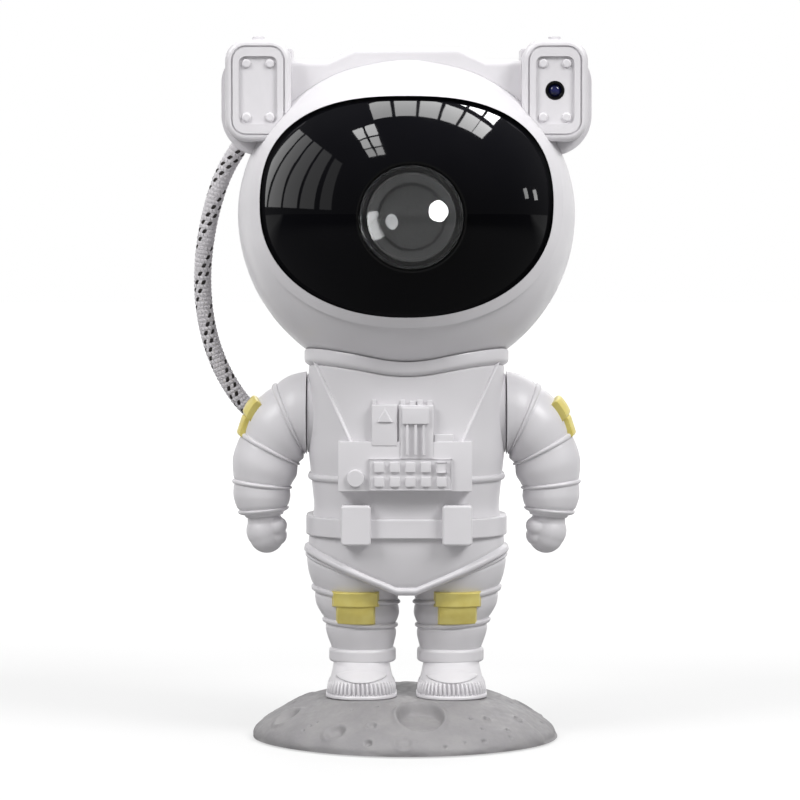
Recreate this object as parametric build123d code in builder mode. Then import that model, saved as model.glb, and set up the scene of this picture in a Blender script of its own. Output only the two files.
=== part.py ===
from build123d import *

import os
from math import acos, asin, atan2, copysign, cos, degrees, hypot, pi, radians, sin, sqrt, tan

# Star and nebula projector in the shape of a small astronaut who stands on a piece of moon ground.
# Millimetres. The origin is on the floor under the middle of the part, +Z is up, the visor faces -Y,
# and "left" is the side at -X, where the hose is.

os.makedirs("parts", exist_ok=True)

# ---------------------------------------------------------------- driving dimensions
fit_gap = 0.05            # between pieces that are screwed or glued face to face
move_gap = 0.3            # between pieces that move past each other
shell_wall = 2.2          # moulded casing walls

# helmet
helmet_r = 54.8           # the lower half is a true sphere, so that it can roll in the collar
helmet_top = 50.4         # half height of the flatter upper half
crown_steps = 8           # points along the upper half's outline
head_z = 170.7            # height of the sphere's centre
lens_proud = 3.0          # how far the dome lens stands out of the visor
head_y = lens_proud / 2   # set back by half of that, so that the part stays centred
head_seam_y = 17.0        # plane between front and rear helmet shell, behind the centre

# visor
visor_half_w = 46.6
visor_half_h = 34.8
visor_rise = 2.3          # its centre above the helmet's
visor_power_top = 2.6     # exponents of the outline's upper and lower half
visor_power_bottom = 2.15
visor_wall = 1.8
visor_stand = 0.2         # the visor's surface stands this far out of the helmet's
visor_edge = 2.5          # width of its thicker rim
lip_w = 3.3
lip_proud = 1.3

# dome lens and its place in the visor
lens_r = 16.1
lens_x = 1.5
lens_drop = 1.0
lens_rim = 1.4
bezel_w = 1.2
bezel_deep = 2.0
bezel_proud = 0.8
bezel_ledge = 1.2         # how far the bezel reaches in behind the lens's rim

# optics carrier in the helmet: a plate behind the lens tube, lugs to the helmet's screws
frame_front = 12.0        # its front face ahead of the helmet's centre
frame_t = 2.4
frame_r = 49.4            # passes the rear opening of the front shell
tube_r = 17.5
tube_wall = 2.4
lug_t = 4.0
strut_r = 2.6
strut_spots = [(x, z) for x in (-30.0, 30.0) for z in (-21.0, 21.0)]
helmet_screw_spots = [(x, z) for x in (-36.0, 36.0) for z in (-26.0, 26.0)]
boss_r = 3.2
boss_l = 10.0
gusset_t = 1.6
helmet_screw_r = 1.3
helmet_screw_bite = 8.0
helmet_screw_sunk = 7.0   # the head sits this far behind the seam
helmet_screw_head_t = 1.8

# geared effect wheel in the light's path
gear_module = 0.8
gear_backlash = 0.3
wheel_teeth = 60
pinion_teeth = 12
wheel_t = 3.0
wheel_gap = 1.7           # between the carrier's plate and the wheel
wheel_drop = 13.0         # wheel's axle under the lens's axis
wheel_clear = 0.3
disc_r = 21.0
disc_t = 1.8
hub_r = 4.0
axle_r = 1.5
spoke_w = 2.0
pinion_turn = 160.0       # where the pinion meets the wheel, from +X towards +Z
motor_r = 7.5
motor_l = 12.0
motor_shaft_r = 1.0

# lamp behind the wheel
lamp_y = 7.0
lamp_w = 50.0
lamp_low = 9.7            # board's lower edge under the lens's axis
lamp_h = 41.0
lamp_post_spots = [(x, z) for x in (-22.0, 22.0) for z in (11.8, 27.3)]
lamp_post_r = 2.0
lamp_pin_r = 1.0
led_size = 5.0
condenser_r = 8.0
condenser_l = 6.4
condenser_rim = 3.0
aperture_r = 8.5          # hole in the carrier's plate for the light
sink_size = 24.0
sink_base_t = 2.5
sink_depth = 14.0
sink_fins = 7
sink_fin_t = 1.2
steel_r = 14.0
steel_t = 1.0

# ears
ear_x = 47.6
ear_z = 210.3
ear_w = 21.2
ear_h = 32.6
ear_corner_r = 6.8
ear_front = 17.0          # front face ahead of the helmet's centre
ear_depth = 10.0
ear_pocket_w = 12.3
ear_pocket_h = 21.8
ear_pocket_r = 2.3
ear_pocket_deep = 1.9
ear_plate_t = 0.8
ear_groove_in = 1.95
ear_groove_w = 0.55
ear_groove_deep = 0.6
ear_round = 1.8
rivet_r = 1.5
rivet_pitch_x = 7.5
rivet_pitch_z = 17.2
rivet_proud = 0.8
nub_r = 2.0
nub_h = 1.0
hub_reach = 59.8          # outermost point of the rounded cup behind each ear block
hub_depth = 24.0
hub_top = 13.7            # above and below the ear's middle
hub_low = 20.8
hub_top_r = 11.0
hub_low_r = 13.0
hub_round = 2.0
star_lens_r = 3.05
star_lens_l = 2.3
laser_l = 12.0

# bridge over the crown
bridge_top_z = 224.2
bridge_low_z = 220.2
bridge_flat = 17.1
bridge_slope_x = 25.7
bridge_front = 10.0
bridge_depth = 22.0
bridge_round = 2.0
bridge_tail = 30.0        # the bridge's cheeks end this far above the helmet's centre

# torso
torso_half_w = 31.7
torso_half_d = 26.4
torso_corner_r = 22.0
chest_low_z = 94.0
chest_top_z = 132.0       # above the dish that the helmet sits in
shoulder_z = 106.0
collar_h = 3.6            # height of the collar band, measured along the helmet's radius
collar_proud = 0.4
collar_hole_r = 13.0
neck_r = 11.5
neck_floor_z = 112.0
neck_pin_r = 3.0
neck_pin_l = 6.0
magnet_r = 8.0
magnet_h = 2.0
magnet_seat = 1.4
hip_ring_r = 1.0
harness_w = 1.8
harness_proud = 0.7
waist_cord_z = 85.7
waist_cord_r = 1.1
hip_ring_z = 61.4
belt_z = 70.0
belt_h = 6.2
belt_t = 1.5
belt_round = 0.5
pouch_rise = 1.4
pouch_w = 9.6
pouch_h = 12.9
pouch_x = 16.2
pouch_t = 4.2
pouch_r = 1.1

# chest unit
panel_half_w = 21.3
panel_low_z = 82.4
panel_top_z = 98.3
panel_front = 28.5
panel_back = 10.0
panel_r = 1.0
tower_left = -10.7
tower_right = 8.9
tower_top_z = 110.2
block_left = -1.5
block_low_z = 92.9
block_step = 0.9
keypad_step = 0.5
key_pocket = 0.6
key_proud = 0.7
slider_w = 0.8
slider_h = 9.2
slider_proud = 0.5
keypad_left = -11.2
keypad_right = 14.0
keypad_top_z = 92.5
key_pitch_x = 4.93
key_pitch_z = 4.4
key_size = 3.0
key_rows = 2
key_columns = 5
dial_x = -16.3
dial_z = 86.6
dial_r = 2.8
dial_proud = 1.2

# arms
arm_pivot_r = 4.0         # boss that turns in the torso's side
arm_wall_gap = 0.8
hand_x = -45.6
hand_y = -0.5
hand_z = 67.2
hand_r = 6.3
finger_r = 2.1
finger_pitch = 2.9
shoulder_patch_lean = 33.0
shoulder_reach = 13.4

# legs, cuffs and boots
leg_x = 14.65
boot_half_w = 11.55
boot_toe = 20.5
boot_heel = 11.5
boot_r = 11.3
sole_t = 1.9
rib_band_h = 4.1
boot_top_z = 24.9
boot_round = 4.0
rib_count = 40
rib_groove_r = 0.55
cuff_h = 4.6
cuff_half_w = 10.9
cuff_half_d = 11.3
cuff_round = 1.1
cuff_in = 0.3

# gold patches on knees and shoulders
patch_bar_w = 15.3
patch_bar_h = 5.2
patch_low_w = 12.7
patch_low_h = 5.9
patch_step = 0.6
patch_r = 0.8
knee_x = -16.4
knee_z = 44.0
knee_reach = 16.9

# moon ground
base_r = 49.8
plateau_r = 27.5
plateau_t = 2.6
base_h = 14.3
base_rim_z = 0.5
pad_t = 1.2
pad_seat = 0.4
pad_r = 34.0
pad_band = 12.0
plate_t = 2.0
plate_r = 43.2
base_screw_r = 1.5
base_screw_ring = 39.5
base_screws_n = 4
base_screw_bite = 4.5
screw_head_t = 1.2
boot_screw_bite = 5.0

# backpack
pack_half_w = 22.5
pack_low_z = 74.0
pack_top_z = 116.0
pack_back = 47.0
pack_r = 5.0
pack_wall = 2.0
pack_groove = 0.7
pack_groove_rise = 11.0
pack_groove_pitch = 4.0
button_r = 3.6
button_pitch = 11.0
button_z = 98.0
button_proud = 1.2
button_travel = 0.8
button_gap = 0.15
button_flange = 0.9
button_flange_t = 1.45
button_stem_r = 1.6
board_y = 36.0
board_z = 95.0
board_w = 32.0
board_h = 36.5
board_t = 1.6
board_post_r = 2.2
board_post_in = 3.0       # posts' centres inside the board's edges
board_screw_r = 1.0
board_screw_bite = 5.0
switch_size = 6.0
switch_body = 3.5
switch_stem = 1.0
switch_stem_r = 1.75
usb_w = 8.94
usb_h = 3.26
usb_l = 7.3
usb_sunk = 0.3

# hose
hose_d = 6.0
gland_r = 4.2
gland_wall = 1.0
gland_foot = 1.2
gland_l = 7.5
gland_ring_r = 0.5
hose_lead = 9.0           # straight hose next to each gland
gland_high_x = -50.0
gland_high_z = 200.0
gland_lean = (-0.6, 0, -0.8)     # direction in which the hose leaves the ear
gland_low_y = 35.0
gland_low_z = 99.0

head_centre = Vector(0, head_y, head_z)
keypad_mid_x = (keypad_left + keypad_right) / 2
keypad_mid_z = (panel_low_z + keypad_top_z) / 2
slider_spots = [(x, 98.8) for x in (0.6, 3.35, 6.1)]
boot_screw_spots = [(side * leg_x, y) for side in (-1, 1) for y in (-10.0, 4.0)]
UP = (Align.CENTER, Align.CENTER, Align.MIN)
DOWN = (Align.CENTER, Align.CENTER, Align.MAX)
far = 150.0               # longer than any cut has to reach


def save(piece, node):
    """Name a finished piece and write its file."""
    piece.part.label = node
    export_step(piece.part, f"parts/{node}.step")


def mirrored(piece):
    """The same piece for the other side of the figure."""
    with BuildPart(mode=Mode.PRIVATE) as other:
        mirror(piece.part, about=Plane.YZ)
    return other


def front_plane(y, x=0.0, z=0.0):
    """A plane that faces the viewer in front, with its own x to +X and its own y to +Z."""
    return Plane(origin=(x, y, z), x_dir=(1, 0, 0), z_dir=(0, -1, 0))


# ---------------------------------------------------------------- forms that several pieces follow
def helmet_form(offset):
    """The helmet's skin moved outwards by offset: sphere below the middle, flatter above."""
    with BuildPart(mode=Mode.PRIVATE) as form:
        with BuildSketch(front_plane(head_y, 0, head_z)):
            with BuildLine():
                CenterArc((0, 0), helmet_r + offset, -90, 90)
                turns = [radians(90 * step / crown_steps) for step in range(crown_steps + 1)]
                Spline(*[((helmet_r + offset) * cos(t), (helmet_top + offset) * sin(t)) for t in turns],
                       tangents=[(0, 1), (-1, 0)])
                Line((0, helmet_top + offset), (0, -helmet_r - offset))
            make_face()
        revolve(axis=Axis(head_centre, (0, 0, 1)))
    return form.part


def visor_outline(grow):
    """Closed curve of the visor, moved outwards by grow, on the active plane."""
    steps = 32
    points = []
    for step in range(steps):
        turn = 2 * pi * step / steps
        power = visor_power_top if sin(turn) > 0 else visor_power_bottom
        across = copysign(abs(cos(turn)) ** (2 / power), cos(turn))
        up = copysign(abs(sin(turn)) ** (2 / power), sin(turn))
        points.append(((visor_half_w + grow) * across, (visor_half_h + grow) * up))
    Spline(*points, periodic=True)


def visor_prism(grow):
    """Everything in front of the helmet's middle that lies inside the visor's outline."""
    with BuildPart(mode=Mode.PRIVATE) as prism:
        with BuildSketch(front_plane(head_y - helmet_r * 0.3, 0, head_z + visor_rise)):
            with BuildLine():
                visor_outline(grow)
            make_face()
        extrude(amount=helmet_r)
    return prism.part


def torso_outline(half_w, half_d, corner_r):
    RectangleRounded(2 * half_w, 2 * half_d, min(corner_r, half_d - 0.5, half_w - 0.5))


# height, half width, half depth and corner radius of the torso below the chest
belly_sections = [
    (chest_low_z, torso_half_w, torso_half_d, torso_corner_r),
    (82.2, torso_half_w - 1.1, torso_half_d - 1.6, torso_corner_r - 1.2),
    (76.0, torso_half_w - 1.7, torso_half_d - 2.6, torso_corner_r - 2.0),
    (66.0, torso_half_w + 0.2, torso_half_d - 2.9, torso_corner_r - 2.2),
    (56.0, torso_half_w + 0.7, torso_half_d - 4.6, torso_corner_r - 3.2),
    (44.0, torso_half_w - 2.4, torso_half_d - 8.6, torso_corner_r - 6.2),
]


def torso_form(offset):
    """The torso's skin moved outwards by offset, higher and lower than the torso itself."""
    with BuildPart(mode=Mode.PRIVATE) as form:
        with BuildSketch(Plane.XY.offset(chest_low_z)):
            torso_outline(torso_half_w + offset, torso_half_d + offset, torso_corner_r + offset)
        extrude(amount=chest_top_z - chest_low_z)
        for z, half_w, half_d, corner_r in belly_sections:
            with BuildSketch(Plane.XY.offset(z)):
                torso_outline(half_w + offset, half_d + offset, corner_r + offset)
        loft()
    return form.part


def torso_size_at(z):
    """Half width, half depth and corner radius of the torso at height z below the chest."""
    for upper, lower in zip(belly_sections, belly_sections[1:]):
        if lower[0] <= z <= upper[0]:
            share = (upper[0] - z) / (upper[0] - lower[0])
            return [a + (b - a) * share for a, b in zip(upper[1:], lower[1:])]
    return belly_sections[0][1:]


# a limb is lofted through sections: x, z, tilt from level in degrees, half width, half depth
leg_sections = [
    (-17.5, 54.6, 23.9, 16.3, 18.6),
    (-17.3, 50.9, 16.5, 15.2, 17.4),
    (-16.5, 46.7, 9.3, 13.8, 15.6),
    (-15.9, 42.2, 6.5, 13.5, 14.6),
    (-15.1, 37.6, 4.0, 11.5, 12.6),
    (-14.7, 33.8, 2.0, 11.0, 11.8),
    (-14.4, boot_top_z + cuff_h, 0.0, 9.8, 10.4),
]
leg_cords = {2: 1.1, 4: 0.9}     # section number and how far the raised cord there stands out

arm_sections = [
    (-torso_half_w - arm_wall_gap, shoulder_z, 90.0, 13.7, 13.7),
    (-38.2, 104.0, 66.0, 11.9, 12.6),
    (-41.9, 99.9, 46.0, 11.9, 12.2),
    (-44.6, 94.4, 28.0, 10.5, 10.8),
    (-46.2, 88.6, 16.0, 10.7, 10.8),
    (-47.1, 82.7, 6.5, 9.2, 9.4),
    (-47.0, 78.0, 0.0, 8.9, 8.9),
    (-46.4, 72.9, -6.0, 7.1, 7.2),
]
arm_cords = {1: 0.8, 3: 0.9, 5: 0.8}


puff_steps = 3            # bands from one section of a limb to the next


def moved_down(section, along, grow=0.0):
    """A limb's section moved down the limb by along and made wider by grow."""
    x, z, tilt, half_w, half_d = section
    lean = radians(tilt)
    return (x - along * sin(lean), z - along * cos(lean), tilt, half_w + grow, half_d + grow)


def limb_slice(section):
    """The ellipse across a limb at one section, with its normal down the limb."""
    x, z, tilt, half_w, half_d = section
    lean = radians(tilt)
    plane = Plane(origin=(x, 0, z), x_dir=(cos(lean), 0, -sin(lean)), z_dir=(-sin(lean), 0, -cos(lean)))
    with BuildSketch(plane) as slice_across:
        Ellipse(half_w, half_d)
    return slice_across.sketch.face()


def limb_form(sections, cords):
    """A limb in short bands: puffs swell and narrow between the sections, and cords stand out."""
    slices = [limb_slice(sections[0])]
    for place in range(1, len(sections)):
        start = moved_down(sections[place - 1], cords.get(place - 1, 0.0))
        end = moved_down(sections[place], -cords.get(place, 0.0))
        for step in range(1, puff_steps + 1):
            share = step / puff_steps
            soft = (1 - cos(pi * share)) / 2
            between = [a + (b - a) * share for a, b in zip(start[:3], end[:3])]
            between += [a + (b - a) * soft for a, b in zip(start[3:], end[3:])]
            slices.append(limb_slice(between))
        if place in cords:
            cord = cords[place]
            for along in (-0.7 * cord, 0.0, 0.7 * cord, cord):
                slices.append(limb_slice(moved_down(sections[place], along, cord_height(along, cord))))
    with BuildPart(mode=Mode.PRIVATE) as form:
        loft(sections=slices, ruled=True)
    return form.part


def cord_height(along, cord):
    """How far a round cord stands out of the limb beside its crest."""
    return sqrt(max(cord ** 2 - along ** 2, 0.0))


# ---------------------------------------------------------------- moon ground
# height and radius of the ground's outline, from the floor up to the plateau
ground_sections = [
    (base_rim_z, base_r - 0.9),
    (2.6, base_r - 0.5),
    (6.2, base_r - 4.6),
    (10.4, plateau_r + 10.6),
    (13.2, plateau_r + 3.6),
    (base_h, plateau_r),
]
# craters: turn about +Z from the front in degrees towards +X, distance from the middle, radius, depth
ground_craters = [
    (7.5, 34.5, 7.4, 2.6),
    (-32.6, 42.7, 3.6, 1.1),
    (-14.9, 46.0, 1.8, 0.9),
    (-3.0, 45.6, 2.6, 0.8),
    (43.0, 39.0, 2.6, 1.0),
    (-68.0, 41.0, 4.6, 1.4),
    (-118.0, 40.0, 5.4, 1.6),
    (176.0, 37.5, 6.6, 2.2),
    (138.0, 42.0, 3.4, 1.1),
    (96.0, 40.0, 4.4, 1.3),
]
crater_rim = 0.17         # thickness of a crater's rim, as a share of its radius


def ground_height(radius):
    """Height and slope of the ground at a distance from the middle."""
    for (low_z, low_r), (high_z, high_r) in zip(ground_sections, ground_sections[1:]):
        if high_r <= radius <= low_r:
            share = (low_r - radius) / (low_r - high_r)
            return low_z + (high_z - low_z) * share, (high_z - low_z) / (low_r - high_r)
    return base_h, 0.0


def uneven(radius, turn):
    """A distance from the middle that wanders a little as it goes round."""
    return radius * (1 + 0.010 * sin(3 * turn + 0.8) + 0.008 * sin(5 * turn + 2.1))


with BuildPart() as moon_base:
    outline_points = 16
    for z, radius in ground_sections:
        with BuildSketch(Plane.XY.offset(z)):
            with BuildLine():
                turns = [2 * pi * step / outline_points for step in range(outline_points)]
                Spline(*[(uneven(radius, t) * cos(t), uneven(radius, t) * sin(t)) for t in turns],
                       periodic=True)
            make_face()
    loft()
    for turn, distance, crater_r, depth in ground_craters:
        height, slope = ground_height(distance)
        out = Vector(sin(radians(turn)), -cos(radians(turn)), 0)
        up = (out * slope + Vector(0, 0, 1)).normalized()
        rim_r = crater_r * crater_rim
        spot = out * distance + Vector(0, 0, height) - up * rim_r * 0.5
        ground_plane = Plane(origin=spot, x_dir=up.cross(Vector(0, 1, 0.01)), z_dir=up)
        bowl_r = (crater_r ** 2 + depth ** 2) / (2 * depth)
        with Locations(ground_plane.location):
            Torus(crater_r, rim_r)
            with Locations((0, 0, bowl_r - depth)):
                Sphere(bowl_r, mode=Mode.SUBTRACT)
    # recess for the base plate, hollow above it, and the screws' pilot holes
    with BuildSketch(Plane.XY.offset(base_rim_z)):
        Circle(plate_r + fit_gap)
    extrude(amount=pad_t + plate_t - base_rim_z, mode=Mode.SUBTRACT)
    with BuildSketch(Plane.XY.offset(pad_t + plate_t)):
        Circle(base_screw_ring - 3.5)
    with BuildSketch(Plane.XY.offset(base_h - plateau_t)):
        Circle(plateau_r - 3.0)
    loft(mode=Mode.SUBTRACT)
    with PolarLocations(base_screw_ring, base_screws_n, start_angle=45):
        with Locations((0, 0, pad_t + plate_t)):
            Cylinder(base_screw_r + fit_gap, base_screw_bite, align=UP, mode=Mode.SUBTRACT)
    with Locations(*boot_screw_spots):
        Cylinder(base_screw_r + fit_gap, base_h, align=UP, mode=Mode.SUBTRACT)
save(moon_base, "moon_base")

with BuildPart() as base_plate:
    with BuildSketch(Plane.XY.offset(pad_t)):
        Circle(plate_r)
    extrude(amount=plate_t)
    with BuildSketch(Plane.XY.offset(pad_t)):
        Circle(pad_r + fit_gap)
    extrude(amount=pad_seat, mode=Mode.SUBTRACT)
    with PolarLocations(base_screw_ring, base_screws_n, start_angle=45):
        with Locations((0, 0, pad_t)):
            Cylinder(base_screw_r + fit_gap, plate_t, align=UP, mode=Mode.SUBTRACT)
            Cylinder(2 * base_screw_r + fit_gap, screw_head_t, align=UP, mode=Mode.SUBTRACT)
save(base_plate, "base_plate")

with BuildPart() as base_pad:
    with BuildSketch():
        Circle(pad_r)
        Circle(pad_r - pad_band, mode=Mode.SUBTRACT)
    extrude(amount=pad_t + pad_seat)
save(base_pad, "base_pad")

with BuildPart() as base_screws:
    with PolarLocations(base_screw_ring, base_screws_n, start_angle=45):
        with Locations((0, 0, pad_t)):
            Cylinder(2 * base_screw_r, screw_head_t, align=UP)
            Cylinder(base_screw_r, plate_t + base_screw_bite - 0.5, align=UP)
            Box(0.6, 3.2, 0.6, align=UP, mode=Mode.SUBTRACT)
            Box(3.2, 0.6, 0.6, align=UP, mode=Mode.SUBTRACT)
save(base_screws, "base_screws")

with BuildPart() as boot_screws:
    with Locations(*boot_screw_spots):
        with Locations((0, 0, base_h - plateau_t)):
            Cylinder(2 * base_screw_r, screw_head_t, align=DOWN)
            Cylinder(base_screw_r, plateau_t + boot_screw_bite - 0.5, align=UP)
save(boot_screws, "boot_screws")


# ---------------------------------------------------------------- boots and cuffs
def boot_outline(grow):
    with Locations((-leg_x, (boot_heel - boot_toe) / 2)):
        RectangleRounded(2 * (boot_half_w + grow), boot_toe + boot_heel + 2 * grow, boot_r + grow)


with BuildPart() as boot_left:
    with BuildSketch(Plane.XY.offset(base_h)):
        boot_outline(0)
    extrude(amount=sole_t)
    with BuildSketch(Plane.XY.offset(base_h + sole_t)) as band:
        boot_outline(-0.35)
    extrude(amount=rib_band_h)
    with BuildSketch(Plane.XY.offset(base_h + sole_t + rib_band_h)):
        boot_outline(0)
    extrude(amount=boot_top_z - base_h - sole_t - rib_band_h)
    fillet(boot_left.edges().group_by(Axis.Z)[-1], boot_round)
    # upright grooves all round the sole's side leave the ribs between them
    band_edge = band.sketch.face().outer_wire()
    with Locations(*[band_edge.position_at(step / rib_count) for step in range(rib_count)]):
        Cylinder(rib_groove_r, rib_band_h, align=UP, mode=Mode.SUBTRACT)
    with Locations(*[spot for spot in boot_screw_spots if spot[0] < 0]):
        with Locations((0, 0, base_h)):
            Cylinder(base_screw_r + fit_gap, boot_screw_bite, align=UP, mode=Mode.SUBTRACT)
save(boot_left, "boot_left")
boot_right = mirrored(boot_left)
save(boot_right, "boot_right")

with BuildPart() as boot_cuffs:
    with BuildSketch(Plane.XY.offset(boot_top_z)):
        with Locations((-leg_x + cuff_in, 0), (leg_x - cuff_in, 0)):
            Ellipse(cuff_half_w, cuff_half_d)
    extrude(amount=cuff_h)
    fillet(boot_cuffs.edges(), cuff_round)
save(boot_cuffs, "boot_cuffs")

# ---------------------------------------------------------------- legs and knee patches
with BuildPart() as leg_left:
    add(limb_form(leg_sections, leg_cords))
save(leg_left, "leg_left")
leg_right = mirrored(leg_left)
save(leg_right, "leg_right")


def stepped_patch(plane, carrier, reach):
    """Two-step quilted patch: a wide bar over a narrower one, laid on a limb's surface."""
    with BuildPart(mode=Mode.PRIVATE) as patch:
        with BuildSketch(plane):
            with Locations((0, patch_bar_h / 2)):
                RectangleRounded(patch_bar_w, patch_bar_h, patch_r)
        extrude(amount=reach)
        with BuildSketch(plane):
            with Locations((0, -patch_low_h / 2 + patch_r)):
                RectangleRounded(patch_low_w, patch_low_h + 2 * patch_r, patch_r)
        extrude(amount=reach - patch_step)
        chamfer(patch.faces().sort_by(Axis(plane.origin, plane.z_dir))[-1].edges(), patch_r * 0.6)
        add(carrier, mode=Mode.SUBTRACT)
    return patch


knee_patch = stepped_patch(front_plane(0, knee_x, knee_z), leg_left.part, knee_reach)
with BuildPart() as knee_patches:
    add(knee_patch.part)
    mirror(knee_patch.part, about=Plane.YZ)
save(knee_patches, "knee_patches")


# ---------------------------------------------------------------- torso
def helmet_ball(offset):
    """The ball that the helmet's underside belongs to, moved outwards by offset."""
    with BuildPart(mode=Mode.PRIVATE) as ball:
        with Locations(head_centre):
            Sphere(helmet_r + offset)
    return ball.part


def below_hips(raise_by):
    """Everything under the two slanting planes where the legs start."""
    hip_x, hip_z, tilt, _, _ = leg_sections[0]
    rise = tan(radians(tilt))
    middle_z = hip_z + hip_x * rise + raise_by
    with BuildPart(mode=Mode.PRIVATE) as under:
        with BuildSketch(Plane.XZ):
            with BuildLine():
                Polyline((-far, middle_z + far * rise), (0, middle_z), (far, middle_z + far * rise),
                         (far, -far), (-far, -far), close=True)
            make_face()
        extrude(amount=far, both=True)
    return under.part


def torso_cord(z, cord_r):
    """Raised cord round the torso at height z."""
    with BuildPart(mode=Mode.PRIVATE) as cord:
        with BuildSketch(Plane.XY.offset(z)) as ring:
            torso_outline(*torso_size_at(z))
        path = ring.sketch.face().outer_wire()
        with BuildSketch(Plane(origin=path.position_at(0), x_dir=(0, 0, 1), z_dir=path.tangent_at(0))) as bead:
            Circle(cord_r)
        sweep(sections=bead.sketch, path=path, mode=Mode.REPLACE)
    return cord.part


with BuildPart() as torso_hollow:
    add(torso_form(-shell_wall))
    add(helmet_ball(collar_h + shell_wall), mode=Mode.SUBTRACT)
    add(below_hips(shell_wall), mode=Mode.SUBTRACT)

with BuildPart() as harness:
    for side in (-1, 1):
        with BuildSketch(front_plane(-torso_half_d / 3)):
            with BuildLine():
                Polyline((side * 30.0, 123.5), (side * (30.0 - harness_w), 123.5),
                         (side * 16.4, 97.0), (side * (16.4 + harness_w), 97.0), close=True)
            make_face()
    extrude(amount=torso_half_d)
    add(torso_form(harness_proud), mode=Mode.INTERSECT)

with BuildPart() as torso_walls:
    add(torso_form(0))
    add(torso_cord(waist_cord_z, waist_cord_r))
    add(torso_cord(hip_ring_z, hip_ring_r))
    add(harness.part)
    add(torso_hollow.part, mode=Mode.SUBTRACT)
    add(helmet_ball(collar_h + fit_gap), mode=Mode.SUBTRACT)
    add(below_hips(fit_gap), mode=Mode.SUBTRACT)
    # flat seat and pivot hole of the neck turntable
    with Locations((0, head_y, neck_floor_z)):
        Cylinder(collar_hole_r, far, align=UP, mode=Mode.SUBTRACT)
        Cylinder(neck_pin_r + 0.05, neck_pin_l * 2, align=DOWN, mode=Mode.SUBTRACT)
    # holes for the arms' pivots
    with Locations(Location((0, 0, shoulder_z), (0, 90, 0))):
        Cylinder(arm_pivot_r + 0.05, 2 * torso_half_w + 5, mode=Mode.SUBTRACT)

with BuildPart() as torso_front_shell:
    add(torso_walls.part)
    split(bisect_by=Plane.XZ, keep=Keep.TOP)
save(torso_front_shell, "torso_front_shell")

with BuildPart() as torso_rear_shell:
    add(torso_walls.part)
    split(bisect_by=Plane.XZ, keep=Keep.BOTTOM)
    with BuildSketch(Plane.XZ):
        with Locations((0, pack_top_z - 12)):
            RectangleRounded(24, 8, 3)
    extrude(amount=-far, mode=Mode.SUBTRACT)
save(torso_rear_shell, "torso_rear_shell")

with BuildPart() as collar_ring:
    with BuildSketch(Plane.XY.offset(neck_floor_z)):
        torso_outline(torso_half_w + collar_proud, torso_half_d + collar_proud, torso_corner_r)
    extrude(amount=chest_top_z - neck_floor_z)
    add(helmet_ball(collar_h), mode=Mode.INTERSECT)
    add(helmet_ball(move_gap), mode=Mode.SUBTRACT)
    with Locations((0, head_y, neck_floor_z)):
        Cylinder(collar_hole_r, far, mode=Mode.SUBTRACT)
save(collar_ring, "collar_ring")

with BuildPart() as neck_turntable:
    with Locations((0, head_y, neck_floor_z + fit_gap)):
        Cylinder(neck_r, magnet_h + 6.0, align=UP)
        Cylinder(neck_pin_r, neck_pin_l, align=DOWN)
    add(helmet_ball(move_gap), mode=Mode.SUBTRACT)
    with Locations((0, head_y, neck_floor_z + magnet_seat)):
        Cylinder(magnet_r + fit_gap, far, align=UP, mode=Mode.SUBTRACT)
save(neck_turntable, "neck_turntable")

with BuildPart() as neck_magnet:
    with Locations((0, head_y, neck_floor_z + magnet_seat + fit_gap)):
        Cylinder(magnet_r, magnet_h - fit_gap, align=UP)
    chamfer(neck_magnet.edges().group_by(Axis.Z)[-1], 0.3)
save(neck_magnet, "neck_magnet")

# ---------------------------------------------------------------- belt, pouches and chest unit
with BuildPart() as belt:
    with BuildSketch(Plane.XY.offset(belt_z - belt_h / 2)):
        half_w, half_d, corner_r = torso_size_at(belt_z)
        torso_outline(half_w + belt_t, half_d + belt_t, corner_r + belt_t)
    extrude(amount=belt_h)
    fillet(belt.edges().group_by(Axis.Z)[0] + belt.edges().group_by(Axis.Z)[-1], belt_round)
    add(torso_form(fit_gap), mode=Mode.SUBTRACT)
save(belt, "belt")

with BuildPart() as belt_pouches:
    pouch_front = torso_size_at(belt_z)[1] + pouch_t
    for side in (-1, 1):
        with BuildSketch(front_plane(-pouch_front + pouch_t + 8, side * pouch_x, belt_z + pouch_rise)):
            RectangleRounded(pouch_w, pouch_h, pouch_r)
    extrude(amount=pouch_t + 8)
    fillet(belt_pouches.faces().group_by(Axis.Y)[0].edges(), pouch_r * 0.7)
    add(belt.part, mode=Mode.SUBTRACT)
    add(torso_form(fit_gap), mode=Mode.SUBTRACT)
    with BuildSketch(Plane.XZ.offset(pouch_front - pouch_t - 6)):
        Rectangle(far, far)
    extrude(amount=-far, mode=Mode.SUBTRACT)
save(belt_pouches, "belt_pouches")

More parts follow.
